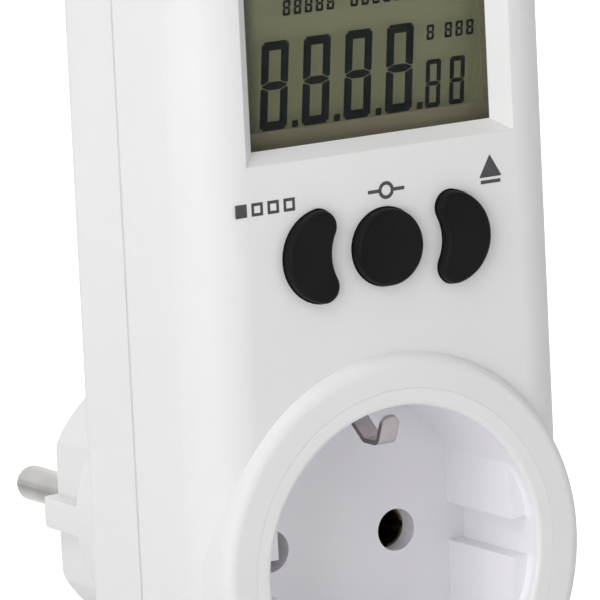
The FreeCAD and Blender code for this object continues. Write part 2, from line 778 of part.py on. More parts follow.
def current_shunt():
    """Folded resistance strip between the neutral sleeve's strap and the neutral pin."""
    near = y_strap_end + shunt_thickness / 2
    far = near + shunt_thickness + shunt_gap
    points = [(near, pin_tail_radius), (near, -shunt_drop), (far, -shunt_drop), (far, pin_tail_radius)]
    return ribbon(points, shunt_thickness, shunt_gap / 2 - screw_gap, shunt_width, -half_pins)


def shunt_end():
    """Level of the shunt's back face, where the neutral pin's tail starts."""
    return y_strap_end + 2 * shunt_thickness + shunt_gap


def contact_carrier():
    """Moulding that holds both sleeves: a plate across the bowl's back with a tube round each sleeve."""
    half_height = carrier_plate_height / 2
    plate = rounded_face(carrier_half_width, -half_height, half_height, carrier_plate_corner, y_carrier)
    plate = plate.extrude(V(0, carrier_plate_thickness, 0))
    rib_place = half_height / 2
    plate = plate.cut(box(-rivet_head_radius, rivet_head_radius, y_carrier - cut_margin,
                          y_carrier + carrier_plate_thickness + cut_margin,
                          carrier_rib_thickness - rib_place, rib_place - carrier_rib_thickness))
    tubes = [rod(carrier_tube + carrier_tube_wall, y_floor_back, y_sleeve_back - sleeve_base, x)
             for x in (-half_pins, half_pins)]
    middle, half_rib = y_carrier + carrier_plate_thickness / 2, carrier_rib_thickness / 2
    ribs = [box(-half_pins, half_pins, middle, y_carrier + carrier_plate_thickness + carrier_rib_height,
                z - half_rib, z + half_rib) for z in (-rib_place, rib_place)]
    carrier = join([plate] + tubes + ribs)
    for x in (-half_pins, half_pins):
        carrier = carrier.cut(rod(carrier_tube, y_floor_back - cut_margin, y_sleeve_back + cut_margin, x))
    for x in (-carrier_screw_place, carrier_screw_place):
        carrier = carrier.cut(rod(small_screw_radius + slide_gap, y_carrier - cut_margin,
                                  y_carrier + carrier_plate_thickness + cut_margin, x))
    return carrier.removeSplitter()


def lcd_window():
    """Clear pane behind the window opening."""
    half, low, high = pane_outline(0)
    pane = box(-half, half, y_front_inside, y_front_inside + pane_thickness, low, high)
    return pane.makeFillet(pane_corner, edges_through(pane, pane_thickness))


def lcd_front_glass():
    """Front glass of the display cell; it reaches lower than the rear one, to carry the contacts."""
    return box(-glass_half, glass_half, y_glass, y_glass_middle, glass_low, glass_high)


def lcd_rear_glass():
    """Rear glass of the display cell."""
    return box(-glass_half, glass_half, y_glass_middle, y_glass_back, glass_low + glass_ledge, glass_high)


def lcd_reflector():
    """Reflector foil on the back of the display cell."""
    inset = glass_gap
    return box(-glass_half + inset, glass_half - inset, y_glass_back, y_holder,
               glass_low + glass_ledge + inset, glass_high - inset)


def zebra_strip():
    """Rubber strip with fine conducting layers between the glass ledge and the board."""
    return box(-glass_half + zebra_inset, glass_half - zebra_inset, y_glass_middle, y_board,
               zebra_low, zebra_low + zebra_height)


def lcd_holder():
    """Frame that holds the display cell off the board, open behind the glass, with a slot for the strip."""
    half = window_width / 2 + holder_margin
    low, high = window_bottom - holder_margin, glass_high - fit_gap
    frame = box(-half, half, y_holder, y_board, low, high)
    sill = glass_low + glass_ledge + holder_wall
    frame = frame.cut(box(-half + holder_wall, half - holder_wall, y_holder - cut_margin,
                          y_board + cut_margin, sill, high - holder_wall))
    slot = glass_half - zebra_inset + fit_gap
    return frame.cut(box(-slot, slot, y_holder - cut_margin, y_board + cut_margin,
                         zebra_low - fit_gap, zebra_low + zebra_height + fit_gap))


def key_cap(side):
    """Rubber key: proud cap with a soft edge, trapped flange behind the wall, and a stem."""
    top = y_front - key_proud
    seat = y_front_inside + slide_gap
    cap = key_block(side, 0, top, seat)
    cap = cap.makeFillet(key_edge_rounding, edges_at(cap, top))
    flange = key_block(side, key_flange, seat, seat + key_flange_thickness)
    stem = key_block(side, -key_stem_inset, seat, pill_level())
    return join([cap, flange, stem])


def pill_level():
    """Level of the stem's end, where the contact pill sits."""
    return y_board - key_travel - slide_gap - pill_thickness


def key_pill(side):
    """Conducting pill under a key's stem."""
    return rod(pill_radius, pill_level(), pill_level() + pill_thickness, side * pill_place, key_row_height)


def keypad_mat():
    """Rubber mat on the board, with a raised collar round each key's stem."""
    half = mat_height / 2
    mat = rounded_face(mat_width / 2, key_row_height - half, key_row_height + half, mat_corner,
                       y_board - mat_thickness)
    mat = mat.extrude(V(0, mat_thickness, 0))
    inner = slide_gap - key_stem_inset
    collars = [key_block(side, inner + mat_collar_wall, y_board - mat_thickness - mat_collar_height, y_board)
               for side in (-1, 0, 1)]
    mat = join([mat] + collars)
    for side in (-1, 0, 1):
        mat = mat.cut(key_block(side, inner, y_board - mat_thickness - mat_collar_height - cut_margin,
                                y_board + cut_margin))
    return mat


def main_board():
    """Circuit board on its four posts."""
    board = rounded_face(board_half, board_bottom, board_top, board_corner, y_board)
    board = board.extrude(V(0, board_thickness, 0))
    for x, z in board_screw_places:
        board = board.cut(rod(small_screw_radius + slide_gap, y_board - cut_margin,
                              y_board_back + cut_margin, x, z))
    tab = riser_width / 2 + fit_gap
    for x in (-half_pins, half_pins):
        board = board.cut(box(x - tab, x + tab, y_board - cut_margin, y_board_back + cut_margin,
                              board_tab_height - strap_thickness / 2 - fit_gap,
                              board_tab_height + strap_thickness / 2 + fit_gap))
    return board


def meter_chip():
    """Measuring chip: flat package with a row of leads on two sides."""
    half, half_height = chip_size / 2, chip_height / 2
    z = chip_place
    seat = y_board_back + chip_standoff
    body = box(-half, half, seat, seat + chip_thickness, z - half_height, z + half_height)
    body = body.makeChamfer(chip_standoff * 2, edges_at(body, seat + chip_thickness))
    leads = []
    for i in range(chip_lead_count):
        x = -half + chip_size * (i + 1) / (chip_lead_count + 1)
        for up in (-1, 1):
            z0, z1 = sorted((z + up * (half_height - chip_lead_thickness),
                             z + up * (half_height + chip_lead_reach)))
            leads.append(box(x - chip_lead_width / 2, x + chip_lead_width / 2,
                             y_board_back, y_board_back + chip_lead_thickness, z0, z1))
    return join([body] + leads)


def dropper_capacitor():
    """Film capacitor that drops the mains for the meter's own supply: a moulded block on the board."""
    x, z = -board_half / 2, board_bottom + dropper_rise
    block = box(x - dropper_length / 2, x + dropper_length / 2, y_board_back, y_board_back + dropper_height,
                z - dropper_width / 2, z + dropper_width / 2)
    return block.makeFillet(dropper_rounding,
                            [e for e in block.Edges if e.BoundBox.YMax > y_board_back + dropper_rounding])


def electrolytic_capacitor():
    """Smoothing capacitor: a can with a rolled groove near its foot."""
    x, z = board_half / 2 + electrolytic_radius, board_bottom + electrolytic_rise
    top = y_board_back + electrolytic_length
    can = rod(electrolytic_radius, y_board_back, top, x, z)
    can = can.makeChamfer(electrolytic_edge, edges_at(can, top))
    groove = Part.makeTorus(electrolytic_radius + electrolytic_groove_radius / 2, electrolytic_groove_radius,
                            V(x, y_board_back + electrolytic_groove_place, z), V(0, 1, 0))
    return can.cut(groove)


def varistor():
    """Surge absorber: a dipped disc on two leads."""
    x, z = board_half / 2 + varistor_lead_spread, board_bottom + varistor_radius
    centre = y_board_back + varistor_radius + varistor_standoff
    foot = V(x, centre, z - varistor_thickness / 2)
    disc = Part.makeCylinder(varistor_radius, varistor_thickness, foot, V(0, 0, 1))
    disc = disc.makeFillet(varistor_edge, rims(disc))
    leads = [rod(lead_radius, y_board_back, centre, x + dx, z)
             for dx in (-varistor_lead_spread, varistor_lead_spread)]
    return join([disc] + leads)


def backup_cell():
    """Stack of small cells in a sleeve, lying across the board."""
    y, z = y_board_back + cell_radius, cell_place
    stack = []
    for i in range(cell_count):
        x = -cell_length / 2 + cell_length * i / cell_count
        cell = Part.makeCylinder(cell_radius, cell_length / cell_count, V(x, y, z), V(1, 0, 0))
        stack.append(cell.makeChamfer(cell_rim, rims(cell)))
    return join(stack)


def crystal():
    """Timing crystal: a small metal can lying on the board."""
    x, z = board_half / 2, chip_place
    foot = V(x, y_board_back + crystal_radius, z - crystal_length / 2)
    can = Part.makeCylinder(crystal_radius, crystal_length, foot, V(0, 0, 1))
    return can.makeChamfer(crystal_edge, [e for e in rims(can) if e.BoundBox.ZMin > z])


def resistors():
    """Row of axial resistors, each a round body with bevelled ends and two bent leads."""
    pieces = []
    z = resistor_place
    y = y_board_back + resistor_radius + lead_radius
    for i in range(resistor_count):
        x = -board_half / 2 + (i - (resistor_count - 1) / 2) * resistor_pitch
        foot = V(x, y, z - resistor_length / 2)
        body = Part.makeCylinder(resistor_radius, resistor_length, foot, V(0, 0, 1))
        body = body.makeChamfer(resistor_edge, rims(body))
        half_wire = resistor_length / 2 + lead_reach
        wire = Part.makeCylinder(lead_radius, 2 * half_wire, V(x, y, z - half_wire), V(0, 0, 1))
        legs = [rod(lead_radius - screw_gap, y_board_back, y, x, z + up * (half_wire - lead_radius))
                for up in (-1, 1)]
        pieces.append(join([body, wire] + legs))
    return pieces


nodes = {
    "front_cover": front_cover(),
    "rear_cover": rear_cover(),
    "case_screws": case_screws(),
    "socket_insert": socket_insert(),
    "insert_screws": insert_screws(),
    "contact_carrier": contact_carrier(),
    "carrier_screws": carrier_screws(),
    "earth_clip_upper": earth_clip(),
    "earth_clip_lower": mirrored(earth_clip()),
    "earth_strap": earth_strap(),
    "earth_rivets": earth_rivets(),
    "plug_earth_contact_upper": plug_earth_contact(),
    "plug_earth_contact_lower": mirrored(plug_earth_contact()),
    "live_contact": contact_sleeve(half_pins),
    "neutral_contact": contact_sleeve(-half_pins),
    "live_pin": plug_pin(half_pins, y_strap_end),
    "neutral_pin": plug_pin(-half_pins, shunt_end()),
    "live_strap": riser(half_pins),
    "neutral_strap": riser(-half_pins),
    "current_shunt": current_shunt(),
    "lcd_window": lcd_window(),
    "lcd_front_glass": lcd_front_glass(),
    "lcd_rear_glass": lcd_rear_glass(),
    "lcd_reflector": lcd_reflector(),
    "lcd_holder": lcd_holder(),
    "zebra_strip": zebra_strip(),
    "mode_key": key_cap(-1),
    "set_key": key_cap(0),
    "up_key": key_cap(1),
    "mode_key_pill": key_pill(-1),
    "set_key_pill": key_pill(0),
    "up_key_pill": key_pill(1),
    "keypad_mat": keypad_mat(),
    "main_board": main_board(),
    "board_screws": board_screws(),
    "meter_chip": meter_chip(),
    "dropper_capacitor": dropper_capacitor(),
    "electrolytic_capacitor": electrolytic_capacitor(),
    "varistor": varistor(),
    "backup_cell": backup_cell(),
    "crystal": crystal(),
    "resistors": resistors(),
}

os.makedirs("parts", exist_ok=True)
for name, shape in nodes.items():
    if isinstance(shape, list):
        shape = Part.makeCompound(shape)
    shape.exportStep("parts/" + name + ".step")
    box_now = shape.BoundBox
    print(f"{name}: {len(shape.Solids)} solid, valid {shape.isValid()}, {shape.Volume:.1f} mm3, "
          f"x {box_now.XMin:.2f} to {box_now.XMax:.2f}, y {box_now.YMin:.2f} to {box_now.YMax:.2f}, "
          f"z {box_now.ZMin:.2f} to {box_now.ZMax:.2f}")
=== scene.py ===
"""Energy cost meter: finishes of every piece, the display's digits, the marks over the keys, and the stage."""
import math

import bmesh
import bpy
from bpy.props import FloatProperty, FloatVectorProperty, IntProperty, PointerProperty
from mathutils import Matrix, Vector


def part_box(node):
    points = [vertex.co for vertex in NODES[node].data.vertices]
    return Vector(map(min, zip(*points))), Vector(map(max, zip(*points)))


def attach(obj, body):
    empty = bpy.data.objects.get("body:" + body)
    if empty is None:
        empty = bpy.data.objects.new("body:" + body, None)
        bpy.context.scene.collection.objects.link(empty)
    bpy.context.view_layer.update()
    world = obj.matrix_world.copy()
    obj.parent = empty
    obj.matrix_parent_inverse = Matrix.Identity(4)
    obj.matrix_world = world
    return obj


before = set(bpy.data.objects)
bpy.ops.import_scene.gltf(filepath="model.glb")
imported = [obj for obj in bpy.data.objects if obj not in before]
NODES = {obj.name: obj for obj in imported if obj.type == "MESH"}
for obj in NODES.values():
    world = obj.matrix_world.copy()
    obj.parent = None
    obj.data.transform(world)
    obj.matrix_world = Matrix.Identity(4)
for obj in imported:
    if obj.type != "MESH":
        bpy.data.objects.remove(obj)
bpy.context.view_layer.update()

bl_info = {
    "name": "Energy cost meter",
    "version": (1, 0, 0),
    "blender": (4, 5, 0),
    "location": "View3D > Sidebar > Meter",
    "description": "Finishes, display digits and key marks for a plug-through energy cost meter",
    "category": "Object",
}

MM = 0.001

# the CAD pieces from which print and trim take their places
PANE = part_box("lcd_window")
FRONT_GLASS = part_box("lcd_front_glass")
REAR_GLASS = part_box("lcd_rear_glass")
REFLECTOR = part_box("lcd_reflector")
ROUND_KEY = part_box("set_key")
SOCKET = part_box("socket_insert")
CASE_WALL = 2.2 * MM
PANE_MARGIN = 1.9 * MM  # how far the pane reaches past the window's edge
CASE_FRONT = PANE[0].y - CASE_WALL
WINDOW_FOOT = PANE[0].z + PANE_MARGIN
KEY_ROW = (ROUND_KEY[0].z + ROUND_KEY[1].z) / 2
FLOOR_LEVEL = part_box("front_cover")[0].z

# the bowl's lip, which turns from the case's tone to the bowl's behind its front face
LIP_START = 0.25 * MM
LIP_END = 1.4 * MM

# the bead in the gap between lip and collar: its two radii, how far it lies below the face, its depth
SEAM_INNER = 22.11 * MM
SEAM_OUTER = 22.19 * MM
SEAM_SINK = 0.03 * MM
SEAM_DEPTH = 0.6 * MM
SEAM_FACETS = 160

# half the width of an earth clip, and the width of the painted shade along its long edges and side faces
CLIP_HALF = 1.3 * MM
EDGE_SHADE_WIDTH = 0.12 * MM

# painted shadow of the window's left edge on the display's reflector: where it starts and ends along X
PAINTED_SHADOW_START = -15.2 * MM
PAINTED_SHADOW_END = -13.7 * MM

# the camera's turn to the object's left, in degrees, and how strongly each part of the paper glows
VIEW_TURN = 31.31
PAPER_GLOW = 0.01
WALL_GLOW = 0.9
STRIP_GLOW = 0.85
FAR_GLOW = 0.65

# name, turn and rise in degrees, width and height in metres, power in watts
LAMPS = (("front_light", 0, 50, 0.5, 0.5, 0.75),
         ("side_light", -62, 39, 0.5, 0.5, 2.15),
         ("low_light", -60, 5, 0.5, 0.25, 2.15),
         ("top_light", 0, 88, 0.5, 0.5, 1.9),
         ("right_light", 46, 15, 0.5, 0.5, 1.2),
         ("back_light", 125, 35, 0.5, 0.5, 0.8))


def length(name, text, millimetres):
    """A size in metres, given in millimetres."""
    return FloatProperty(name=name, description=text, default=millimetres * MM, unit="LENGTH", precision=5)


def colour(name, text, value):
    """A surface colour."""
    return FloatVectorProperty(name=name, description=text, default=value, subtype="COLOR", size=3,
                               min=0.0, max=1.0)


def count(name, text, value, least=1):
    """A number of like things."""
    return IntProperty(name=name, description=text, default=value, min=least)


class MeterDisplaySizes(bpy.types.PropertyGroup):
    """Sizes of what the display shows."""
    digit_height: length("Digit height", "Height of a large digit", 11.15)
    digit_width: length("Digit width", "Width of a large digit", 4.0)
    digit_stroke: length("Digit stroke", "Width of a large digit's segments", 1.12)
    digit_pitch: length("Digit pitch", "From one large digit to the next", 6.17)
    digit_left: length("First digit", "Left edge of the first large digit at half height", -14.4)
    digit_foot: length("Digit foot", "Height of the digits' foot above the window's lower edge", 1.95)
    small_height: length("Small digit height", "Height of a digit behind the last point", 6.1)
    small_width: length("Small digit width", "Width of a digit behind the last point", 2.25)
    small_stroke: length("Small digit stroke", "Width of a small digit's segments", 0.62)
    small_left: length("First small digit", "Left edge of the first small digit", 10.1)
    small_pitch: length("Small digit pitch", "From one small digit to the next", 3.6)
    tiny_height: length("Tiny digit height", "Height of a digit in the upper rows", 1.95)
    tiny_width: length("Tiny digit width", "Width of a digit in the upper rows", 1.1)
    tiny_stroke: length("Tiny digit stroke", "Width of a tiny digit's segments", 0.34)
    tiny_pitch: length("Tiny digit pitch", "From one tiny digit to the next", 1.62)
    upper_rise: length("Upper row", "Foot of the upper row above the large digits' foot", 14.15)
    upper_left: length("Upper row, left", "Place of the first tiny digit of the upper row", -10.9)
    upper_second: length("Upper row, second part", "Place of the first tiny digit after the gap", -0.9)
    side_rise: length("Side row", "Foot of the side row above the large digits' foot", 8.6)
    side_left: length("Side row, left", "Place of the single tiny digit of the side row", 10.6)
    side_second: length("Side row, second part", "Place of the first tiny digit after the gap", 13.3)
    top_rise: length("Top row", "Foot of the top row above the large digits' foot", 17.6)
    top_left: length("Top row, left", "Middle of the first digit of the top row", -11.4)
    top_group: length("Top row pitch", "From one pair of digits to the next in the top row", 8.4)
    point_size: length("Point size", "Width and height of a decimal point", 0.9)
    segment_gap: length("Segment gap", "Clear gap between two segments", 0.13)
    ink_thickness: length("Ink thickness", "Depth of a segment in the cell", 0.03)
    border_lap: length("Border lap", "How far the cell's border covers the reflector's lower edge", 0.3)
    border_side: length("Border at the sides", "Width of the cell's border at its left and right edges", 1.1)
    slant: FloatProperty(name="Slant", description="Lean of the digits to the right",
                         default=math.radians(5.0), subtype="ANGLE")
    large_digits: count("Large digits", "How many large digits", 4)
    small_digits: count("Small digits", "How many digits behind the last point", 2)
    top_pairs: count("Top pairs", "How many pairs of digits in the top row", 3, least=2)
    upper_count: count("Upper row, digits", "How many tiny digits before the upper row's gap", 5)
    upper_second_count: count("Upper row, second digits", "How many tiny digits after the upper row's gap", 7)
    side_count: count("Side row, digits", "How many tiny digits before the side row's gap", 1)
    side_second_count: count("Side row, second digits", "How many tiny digits after the side row's gap", 3)


class MeterMarkSizes(bpy.types.PropertyGroup):
    """Sizes of the printed marks over the keys."""
    mark_height: length("Mark height", "Height of each printed mark", 2.7)
    mark_stroke: length("Mark stroke", "Width of a printed line", 0.46)
    print_thickness: length("Print thickness", "How far the print stands off the case", 0.02)
    steps_width: length("Steps width", "Width of the row of squares over the left key", 8.7)
    slider_width: length("Slider width", "Width of the slider mark over the round key", 5.4)
    arrow_width: length("Arrow width", "Width of the arrow over the right key", 3.7)
    mark_rise: length("Marks' height", "Middle of the marks above the middle of the keys", 7.1)
    steps_place: length("Steps' place", "Middle of the row of squares", -17.35)
    slider_place: length("Slider's place", "Middle of the slider mark", 0.45)
    arrow_place: length("Arrow's place", "Middle of the arrow", 16.05)


class MeterColours(bpy.types.PropertyGroup):
    """Colours of the finishes."""
    case: colour("Case", "Moulded case", (0.80, 0.80, 0.80))
    case_shade: colour("Case, second tone", "Slight drift of the case's colour", (0.77, 0.77, 0.765))
    socket: colour("Socket", "Moulded bowl", (0.895, 0.885, 0.92))
    socket_shade: colour("Socket, second tone", "Slight drift of the bowl's colour", (0.877, 0.867, 0.902))
    key: colour("Keys", "Black rubber", (0.0045, 0.0045, 0.005))
    key_shade: colour("Keys, second tone", "Rubber where fingers polish it", (0.008, 0.008, 0.0085))
    cell: colour("Display", "Reflector behind the display", (0.146, 0.149, 0.084))
    cell_shade: colour("Display, second tone", "Slight drift of the reflector's colour", (0.138, 0.141, 0.08))
    border: colour("Border", "Seal and contact strip round the cell", (0.19, 0.175, 0.115))
    border_shade: colour("Border, second tone", "Slight drift of the border's colour", (0.17, 0.155, 0.10))
    ink: colour("Digits", "Dark segments", (0.004, 0.0065, 0.007))
    print_ink: colour("Print", "Marks over the keys", (0.045, 0.045, 0.05))


def display():
    """The display's sizes in the scene."""
    return bpy.context.scene.meter_display


def marks():
    """The sizes of the marks in the scene."""
    return bpy.context.scene.meter_marks


def colours():
    """The colours in the scene."""
    return bpy.context.scene.meter_colours


def effect_group(name, inputs, outputs):
    """A shader group with named sockets; returns the tree and its two end nodes."""
    group = bpy.data.node_groups.new(name, "ShaderNodeTree")
    for label, kind, value in inputs:
        socket = group.interface.new_socket(name=label, in_out="INPUT", socket_type=kind)
        if value is not None:
            socket.default_value = value
    for label, kind in outputs:
        group.interface.new_socket(name=label, in_out="OUTPUT", socket_type=kind)
    return group, group.nodes.new("NodeGroupInput"), group.nodes.new("NodeGroupOutput")


def noise(tree, place, scale, detail):
    """A noise texture read at a place; the scale is a number or an output socket."""
    node = tree.nodes.new("ShaderNodeTexNoise")
    node.inputs["Detail"].default_value = detail
    tree.links.new(place, node.inputs["Vector"])
    if isinstance(scale, (int, float)):
        node.inputs["Scale"].default_value = scale
    else:
        tree.links.new(scale, node.inputs["Scale"])
    return node.outputs["Fac"]


def sums(tree, operation, first, second):
    """A maths node; each side is a number or an output socket."""
    node = tree.nodes.new("ShaderNodeMath")
    node.operation = operation
    for socket, value in zip(node.inputs, (first, second)):
        if isinstance(value, (int, float)):
            socket.default_value = value
        else:
            tree.links.new(value, socket)
    return node.outputs[0]


def spread(tree, value, low, high, to_low, to_high):
    """Maps a value from one range to another; ends are numbers or output sockets."""
    node = tree.nodes.new("ShaderNodeMapRange")
    for label, end in (("From Min", low), ("From Max", high), ("To Min", to_low), ("To Max", to_high)):
        if isinstance(end, (int, float)):
            node.inputs[label].default_value = end
        else:
            tree.links.new(end, node.inputs[label])
    tree.links.new(value, node.inputs["Value"])
    return node.outputs["Result"]


def grain_group():
    """Moulded grain: fine spark-eroded texture over a long, shallow ripple."""
    group, start, end = effect_group(
        "moulded_grain",
        [("Place", "NodeSocketVector", None), ("Grains per metre", "NodeSocketFloat", 3000.0),
         ("Ripple share", "NodeSocketFloat", 0.4)],
        [("Height", "NodeSocketFloat")])
    fine_detail, ripple_detail, ripples_per_grain = 3.0, 1.0, 0.06
    fine = noise(group, start.outputs["Place"], start.outputs["Grains per metre"], fine_detail)
    ripple_scale = sums(group, "MULTIPLY", start.outputs["Grains per metre"], ripples_per_grain)
    ripple = noise(group, start.outputs["Place"], ripple_scale, ripple_detail)
    ripple_part = sums(group, "MULTIPLY", ripple, start.outputs["Ripple share"])
    height = sums(group, "ADD", fine, ripple_part)
    group.links.new(height, end.inputs["Height"])
    return group


def tone_group():
    """Slow drift between two tones over a surface."""
    group, start, end = effect_group(
        "tone_drift",
        [("Place", "NodeSocketVector", None), ("Tone", "NodeSocketColor", None),
         ("Second tone", "NodeSocketColor", None), ("Patches per metre", "NodeSocketFloat", 30.0)],
        [("Color", "NodeSocketColor")])
    detail, low, high = 3.0, 0.35, 0.65
    patches = noise(group, start.outputs["Place"], start.outputs["Patches per metre"], detail)
    share = spread(group, patches, low, high, 0.0, 1.0)
    mix = group.nodes.new("ShaderNodeMix")
    mix.data_type = "RGBA"
    group.links.new(share, mix.inputs[0])
    group.links.new(start.outputs["Tone"], mix.inputs[6])
    group.links.new(start.outputs["Second tone"], mix.inputs[7])
    group.links.new(mix.outputs[2], end.inputs["Color"])
    return group


def handling_group():
    """Roughness that varies as a handled or polished surface does."""
    group, start, end = effect_group(
        "handling",
        [("Place", "NodeSocketVector", None), ("Smooth", "NodeSocketFloat", 0.3),
         ("Rough", "NodeSocketFloat", 0.4), ("Marks per metre", "NodeSocketFloat", 120.0)],
        [("Roughness", "NodeSocketFloat")])
    broad_detail, fine_detail, fine_per_broad = 4.0, 2.0, 14.0
    broad_share, fine_share, low, high = 0.7, 0.3, 0.35, 0.65
    broad = noise(group, start.outputs["Place"], start.outputs["Marks per metre"], broad_detail)
    fine_scale = sums(group, "MULTIPLY", start.outputs["Marks per metre"], fine_per_broad)
    fine = noise(group, start.outputs["Place"], fine_scale, fine_detail)
    both = sums(group, "ADD", sums(group, "MULTIPLY", broad, broad_share),
                sums(group, "MULTIPLY", fine, fine_share))
    value = spread(group, both, low, high, start.outputs["Smooth"], start.outputs["Rough"])
    group.links.new(value, end.inputs["Roughness"])
    return group


def drawn_group():
    """Fine parallel lines of drawn or rolled metal; the place is stretched along them beforehand."""
    group, start, end = effect_group(
        "drawn_lines",
        [("Stretched place", "NodeSocketVector", None), ("Lines per metre", "NodeSocketFloat", 6000.0)],
        [("Height", "NodeSocketFloat"), ("Mask", "NodeSocketFloat")])
    detail, low, high = 2.0, 0.4, 0.6
    lines = noise(group, start.outputs["Stretched place"], start.outputs["Lines per metre"], detail)
    mask = spread(group, lines, low, high, 0.0, 1.0)
    group.links.new(lines, end.inputs["Height"])
    group.links.new(mask, end.inputs["Mask"])
    return group


def use_group(tree, group, values, links):
    """Places an effect group in a material with its own values."""
    node = tree.nodes.new("ShaderNodeGroup")
    node.node_tree = group
    for label, value in values.items():
        node.inputs[label].default_value = value
    for label, source in links.items():
        tree.links.new(source, node.inputs[label])
    return node


def groups():
    """The shared effect groups, made once."""
    if "moulded_grain" not in bpy.data.node_groups:
        for make in (grain_group, tone_group, handling_group, drawn_group):
            make()
    return bpy.data.node_groups


def blank(name):
    """A new material, with its node tree, its shader and its place in Object coordinates."""
    material = bpy.data.materials.new(name)
    material.use_nodes = True
    tree = material.node_tree
    return material, tree, tree.nodes["Principled BSDF"], tree.nodes.new("ShaderNodeTexCoord").outputs["Object"]


def drifting(tree, shader, place, tone, second, patches):
    """Feeds the drift between two tones to the shader's base colour."""
    drift = use_group(tree, groups()["tone_drift"],
                      {"Tone": (*tone, 1.0), "Second tone": (*second, 1.0), "Patches per metre": patches},
                      {"Place": place})
    tree.links.new(drift.outputs["Color"], shader.inputs["Base Color"])


def finish(name, tone, second, patches=30.0, smooth=0.3, rough=0.4, marks_per_metre=120.0,
           grain=3000.0, ripple=0.4, depth=0.004, **shader_values):
    """A procedural finish: drifting tone, handled roughness and moulded grain."""
    material, tree, shader, place = blank(name)
    shared = groups()
    drifting(tree, shader, place, tone, second, patches)
    handled = use_group(tree, shared["handling"],
                        {"Smooth": smooth, "Rough": rough, "Marks per metre": marks_per_metre},
                        {"Place": place})
    moulded = use_group(tree, shared["moulded_grain"],
                        {"Grains per metre": grain, "Ripple share": ripple}, {"Place": place})
    tree.links.new(handled.outputs["Roughness"], shader.inputs["Roughness"])
    bump(tree, shader, moulded.outputs["Height"], depth)
    for label, value in shader_values.items():
        shader.inputs[label.replace("_", " ")].default_value = value
    return material


def bump(tree, shader, height, depth):
    """Feeds a height, with its depth in millimetres, to the shader's normal."""
    node = tree.nodes.new("ShaderNodeBump")
    node.inputs["Strength"].default_value = 1.0
    node.inputs["Distance"].default_value = depth * MM
    tree.links.new(height, node.inputs["Height"])
    tree.links.new(node.outputs["Normal"], shader.inputs["Normal"])


def metal(name, tone, second, smooth, rough, stretch, lines=6000.0, depth=0.0015, patches=160.0):
    """A metal finish with fine lines along the direction in which the stretch is small."""
    material, tree, shader, place = blank(name)
    shader.inputs["Metallic"].default_value = 1.0
    mapping = tree.nodes.new("ShaderNodeMapping")
    mapping.inputs["Scale"].default_value = stretch
    tree.links.new(place, mapping.inputs["Vector"])
    drifting(tree, shader, place, tone, second, patches)
    drawn = use_group(tree, groups()["drawn_lines"], {"Lines per metre": lines},
                      {"Stretched place": mapping.outputs["Vector"]})
    tree.links.new(spread(tree, drawn.outputs["Mask"], 0.0, 1.0, smooth, rough), shader.inputs["Roughness"])
    bump(tree, shader, drawn.outputs["Height"], depth)
    return material


def blended(material, tone, axis, low, high, low_share, high_share, both_sides=False):
    """Blends a finish's colour into another tone between two places along an axis."""
    tree = material.node_tree
    shader = tree.nodes["Principled BSDF"]
    base = shader.inputs["Base Color"].links[0].from_socket
    split = tree.nodes.new("ShaderNodeSeparateXYZ")
    tree.links.new(tree.nodes.new("ShaderNodeTexCoord").outputs["Object"], split.inputs["Vector"])
    place = split.outputs[axis]
    if both_sides:
        place = sums(tree, "ABSOLUTE", place, 0.0)
    mix = tree.nodes.new("ShaderNodeMix")
    mix.data_type = "RGBA"
    tree.links.new(spread(tree, place, low, high, low_share, high_share), mix.inputs[0])
    tree.links.new(base, mix.inputs[6])
    mix.inputs[7].default_value = (*tone, 1.0)
    tree.links.new(mix.outputs[2], shader.inputs["Base Color"])


def dress(material, *names):
    """Gives a finish to CAD nodes."""
    for name in names:
        piece = NODES[name]
        if not piece.material_slots:
            piece.data.materials.append(material)
        for slot in piece.material_slots:
            slot.material = material


def select_only(*pieces):
    """Selects these objects alone; the last one is active."""
    for other in bpy.context.selected_objects:
        other.select_set(False)
    for piece in pieces:
        piece.select_set(True)
        bpy.context.view_layer.objects.active = piece


def edit(kind):
    """Enters edit mode on the active object, with nothing selected, for vertices, edges or faces."""
    bpy.ops.object.mode_set(mode="EDIT")
    bpy.ops.mesh.select_mode(type=kind)
    bpy.ops.mesh.select_all(action="DESELECT")


def pick(kind, test):
    """In edit mode, selects the vertices, edges or faces whose middle passes the test."""
    mesh = bmesh.from_edit_mesh(bpy.context.object.data)
    for part in {"VERT": mesh.verts, "EDGE": mesh.edges, "FACE": mesh.faces}[kind]:
        corners = [part] if kind == "VERT" else part.verts
        middle = sum((corner.co for corner in corners), Vector()) / len(corners)
        part.select_set(bool(test(middle)))
    mesh.select_flush_mode()
    bmesh.update_edit_mesh(bpy.context.object.data)


def leave_edit():
    """Back to object mode."""
    bpy.ops.object.mode_set(mode="OBJECT")


def new_piece(name):
    """Names the object just added and puts its size and place into its mesh."""
    piece = bpy.context.object
    select_only(piece)
    bpy.ops.object.transform_apply(location=True, rotation=True, scale=True)
    piece.name = name
    piece.data.name = name
    return piece


def flat(name, width, height, place=(0, 0, 0)):
    """A flat rectangle in XY about a place."""
    bpy.ops.mesh.primitive_plane_add(size=1.0, location=place)
    bpy.context.object.scale = (width, height, 1)
    return new_piece(name)


def hollow_out(rim):
    """Leaves only a rim of the active flat drawing."""
    edit("FACE")
    pick("FACE", lambda middle: True)
    bpy.ops.mesh.inset(thickness=rim)
    bpy.ops.mesh.delete(type="FACE")
    leave_edit()


def round_corners(reach):
    """Rounds every corner of the active flat drawing."""
    edit("VERT")
    pick("VERT", lambda middle: True)
    bpy.ops.mesh.bevel(offset=reach, segments=2, affect="VERTICES")
    leave_edit()


def twin(piece, matrix):
    """A copy of a piece with its own mesh, placed by a matrix."""
    copy = piece.copy()
    copy.data = piece.data.copy()
    copy.data.transform(matrix)
    bpy.context.scene.collection.objects.link(copy)
    return copy


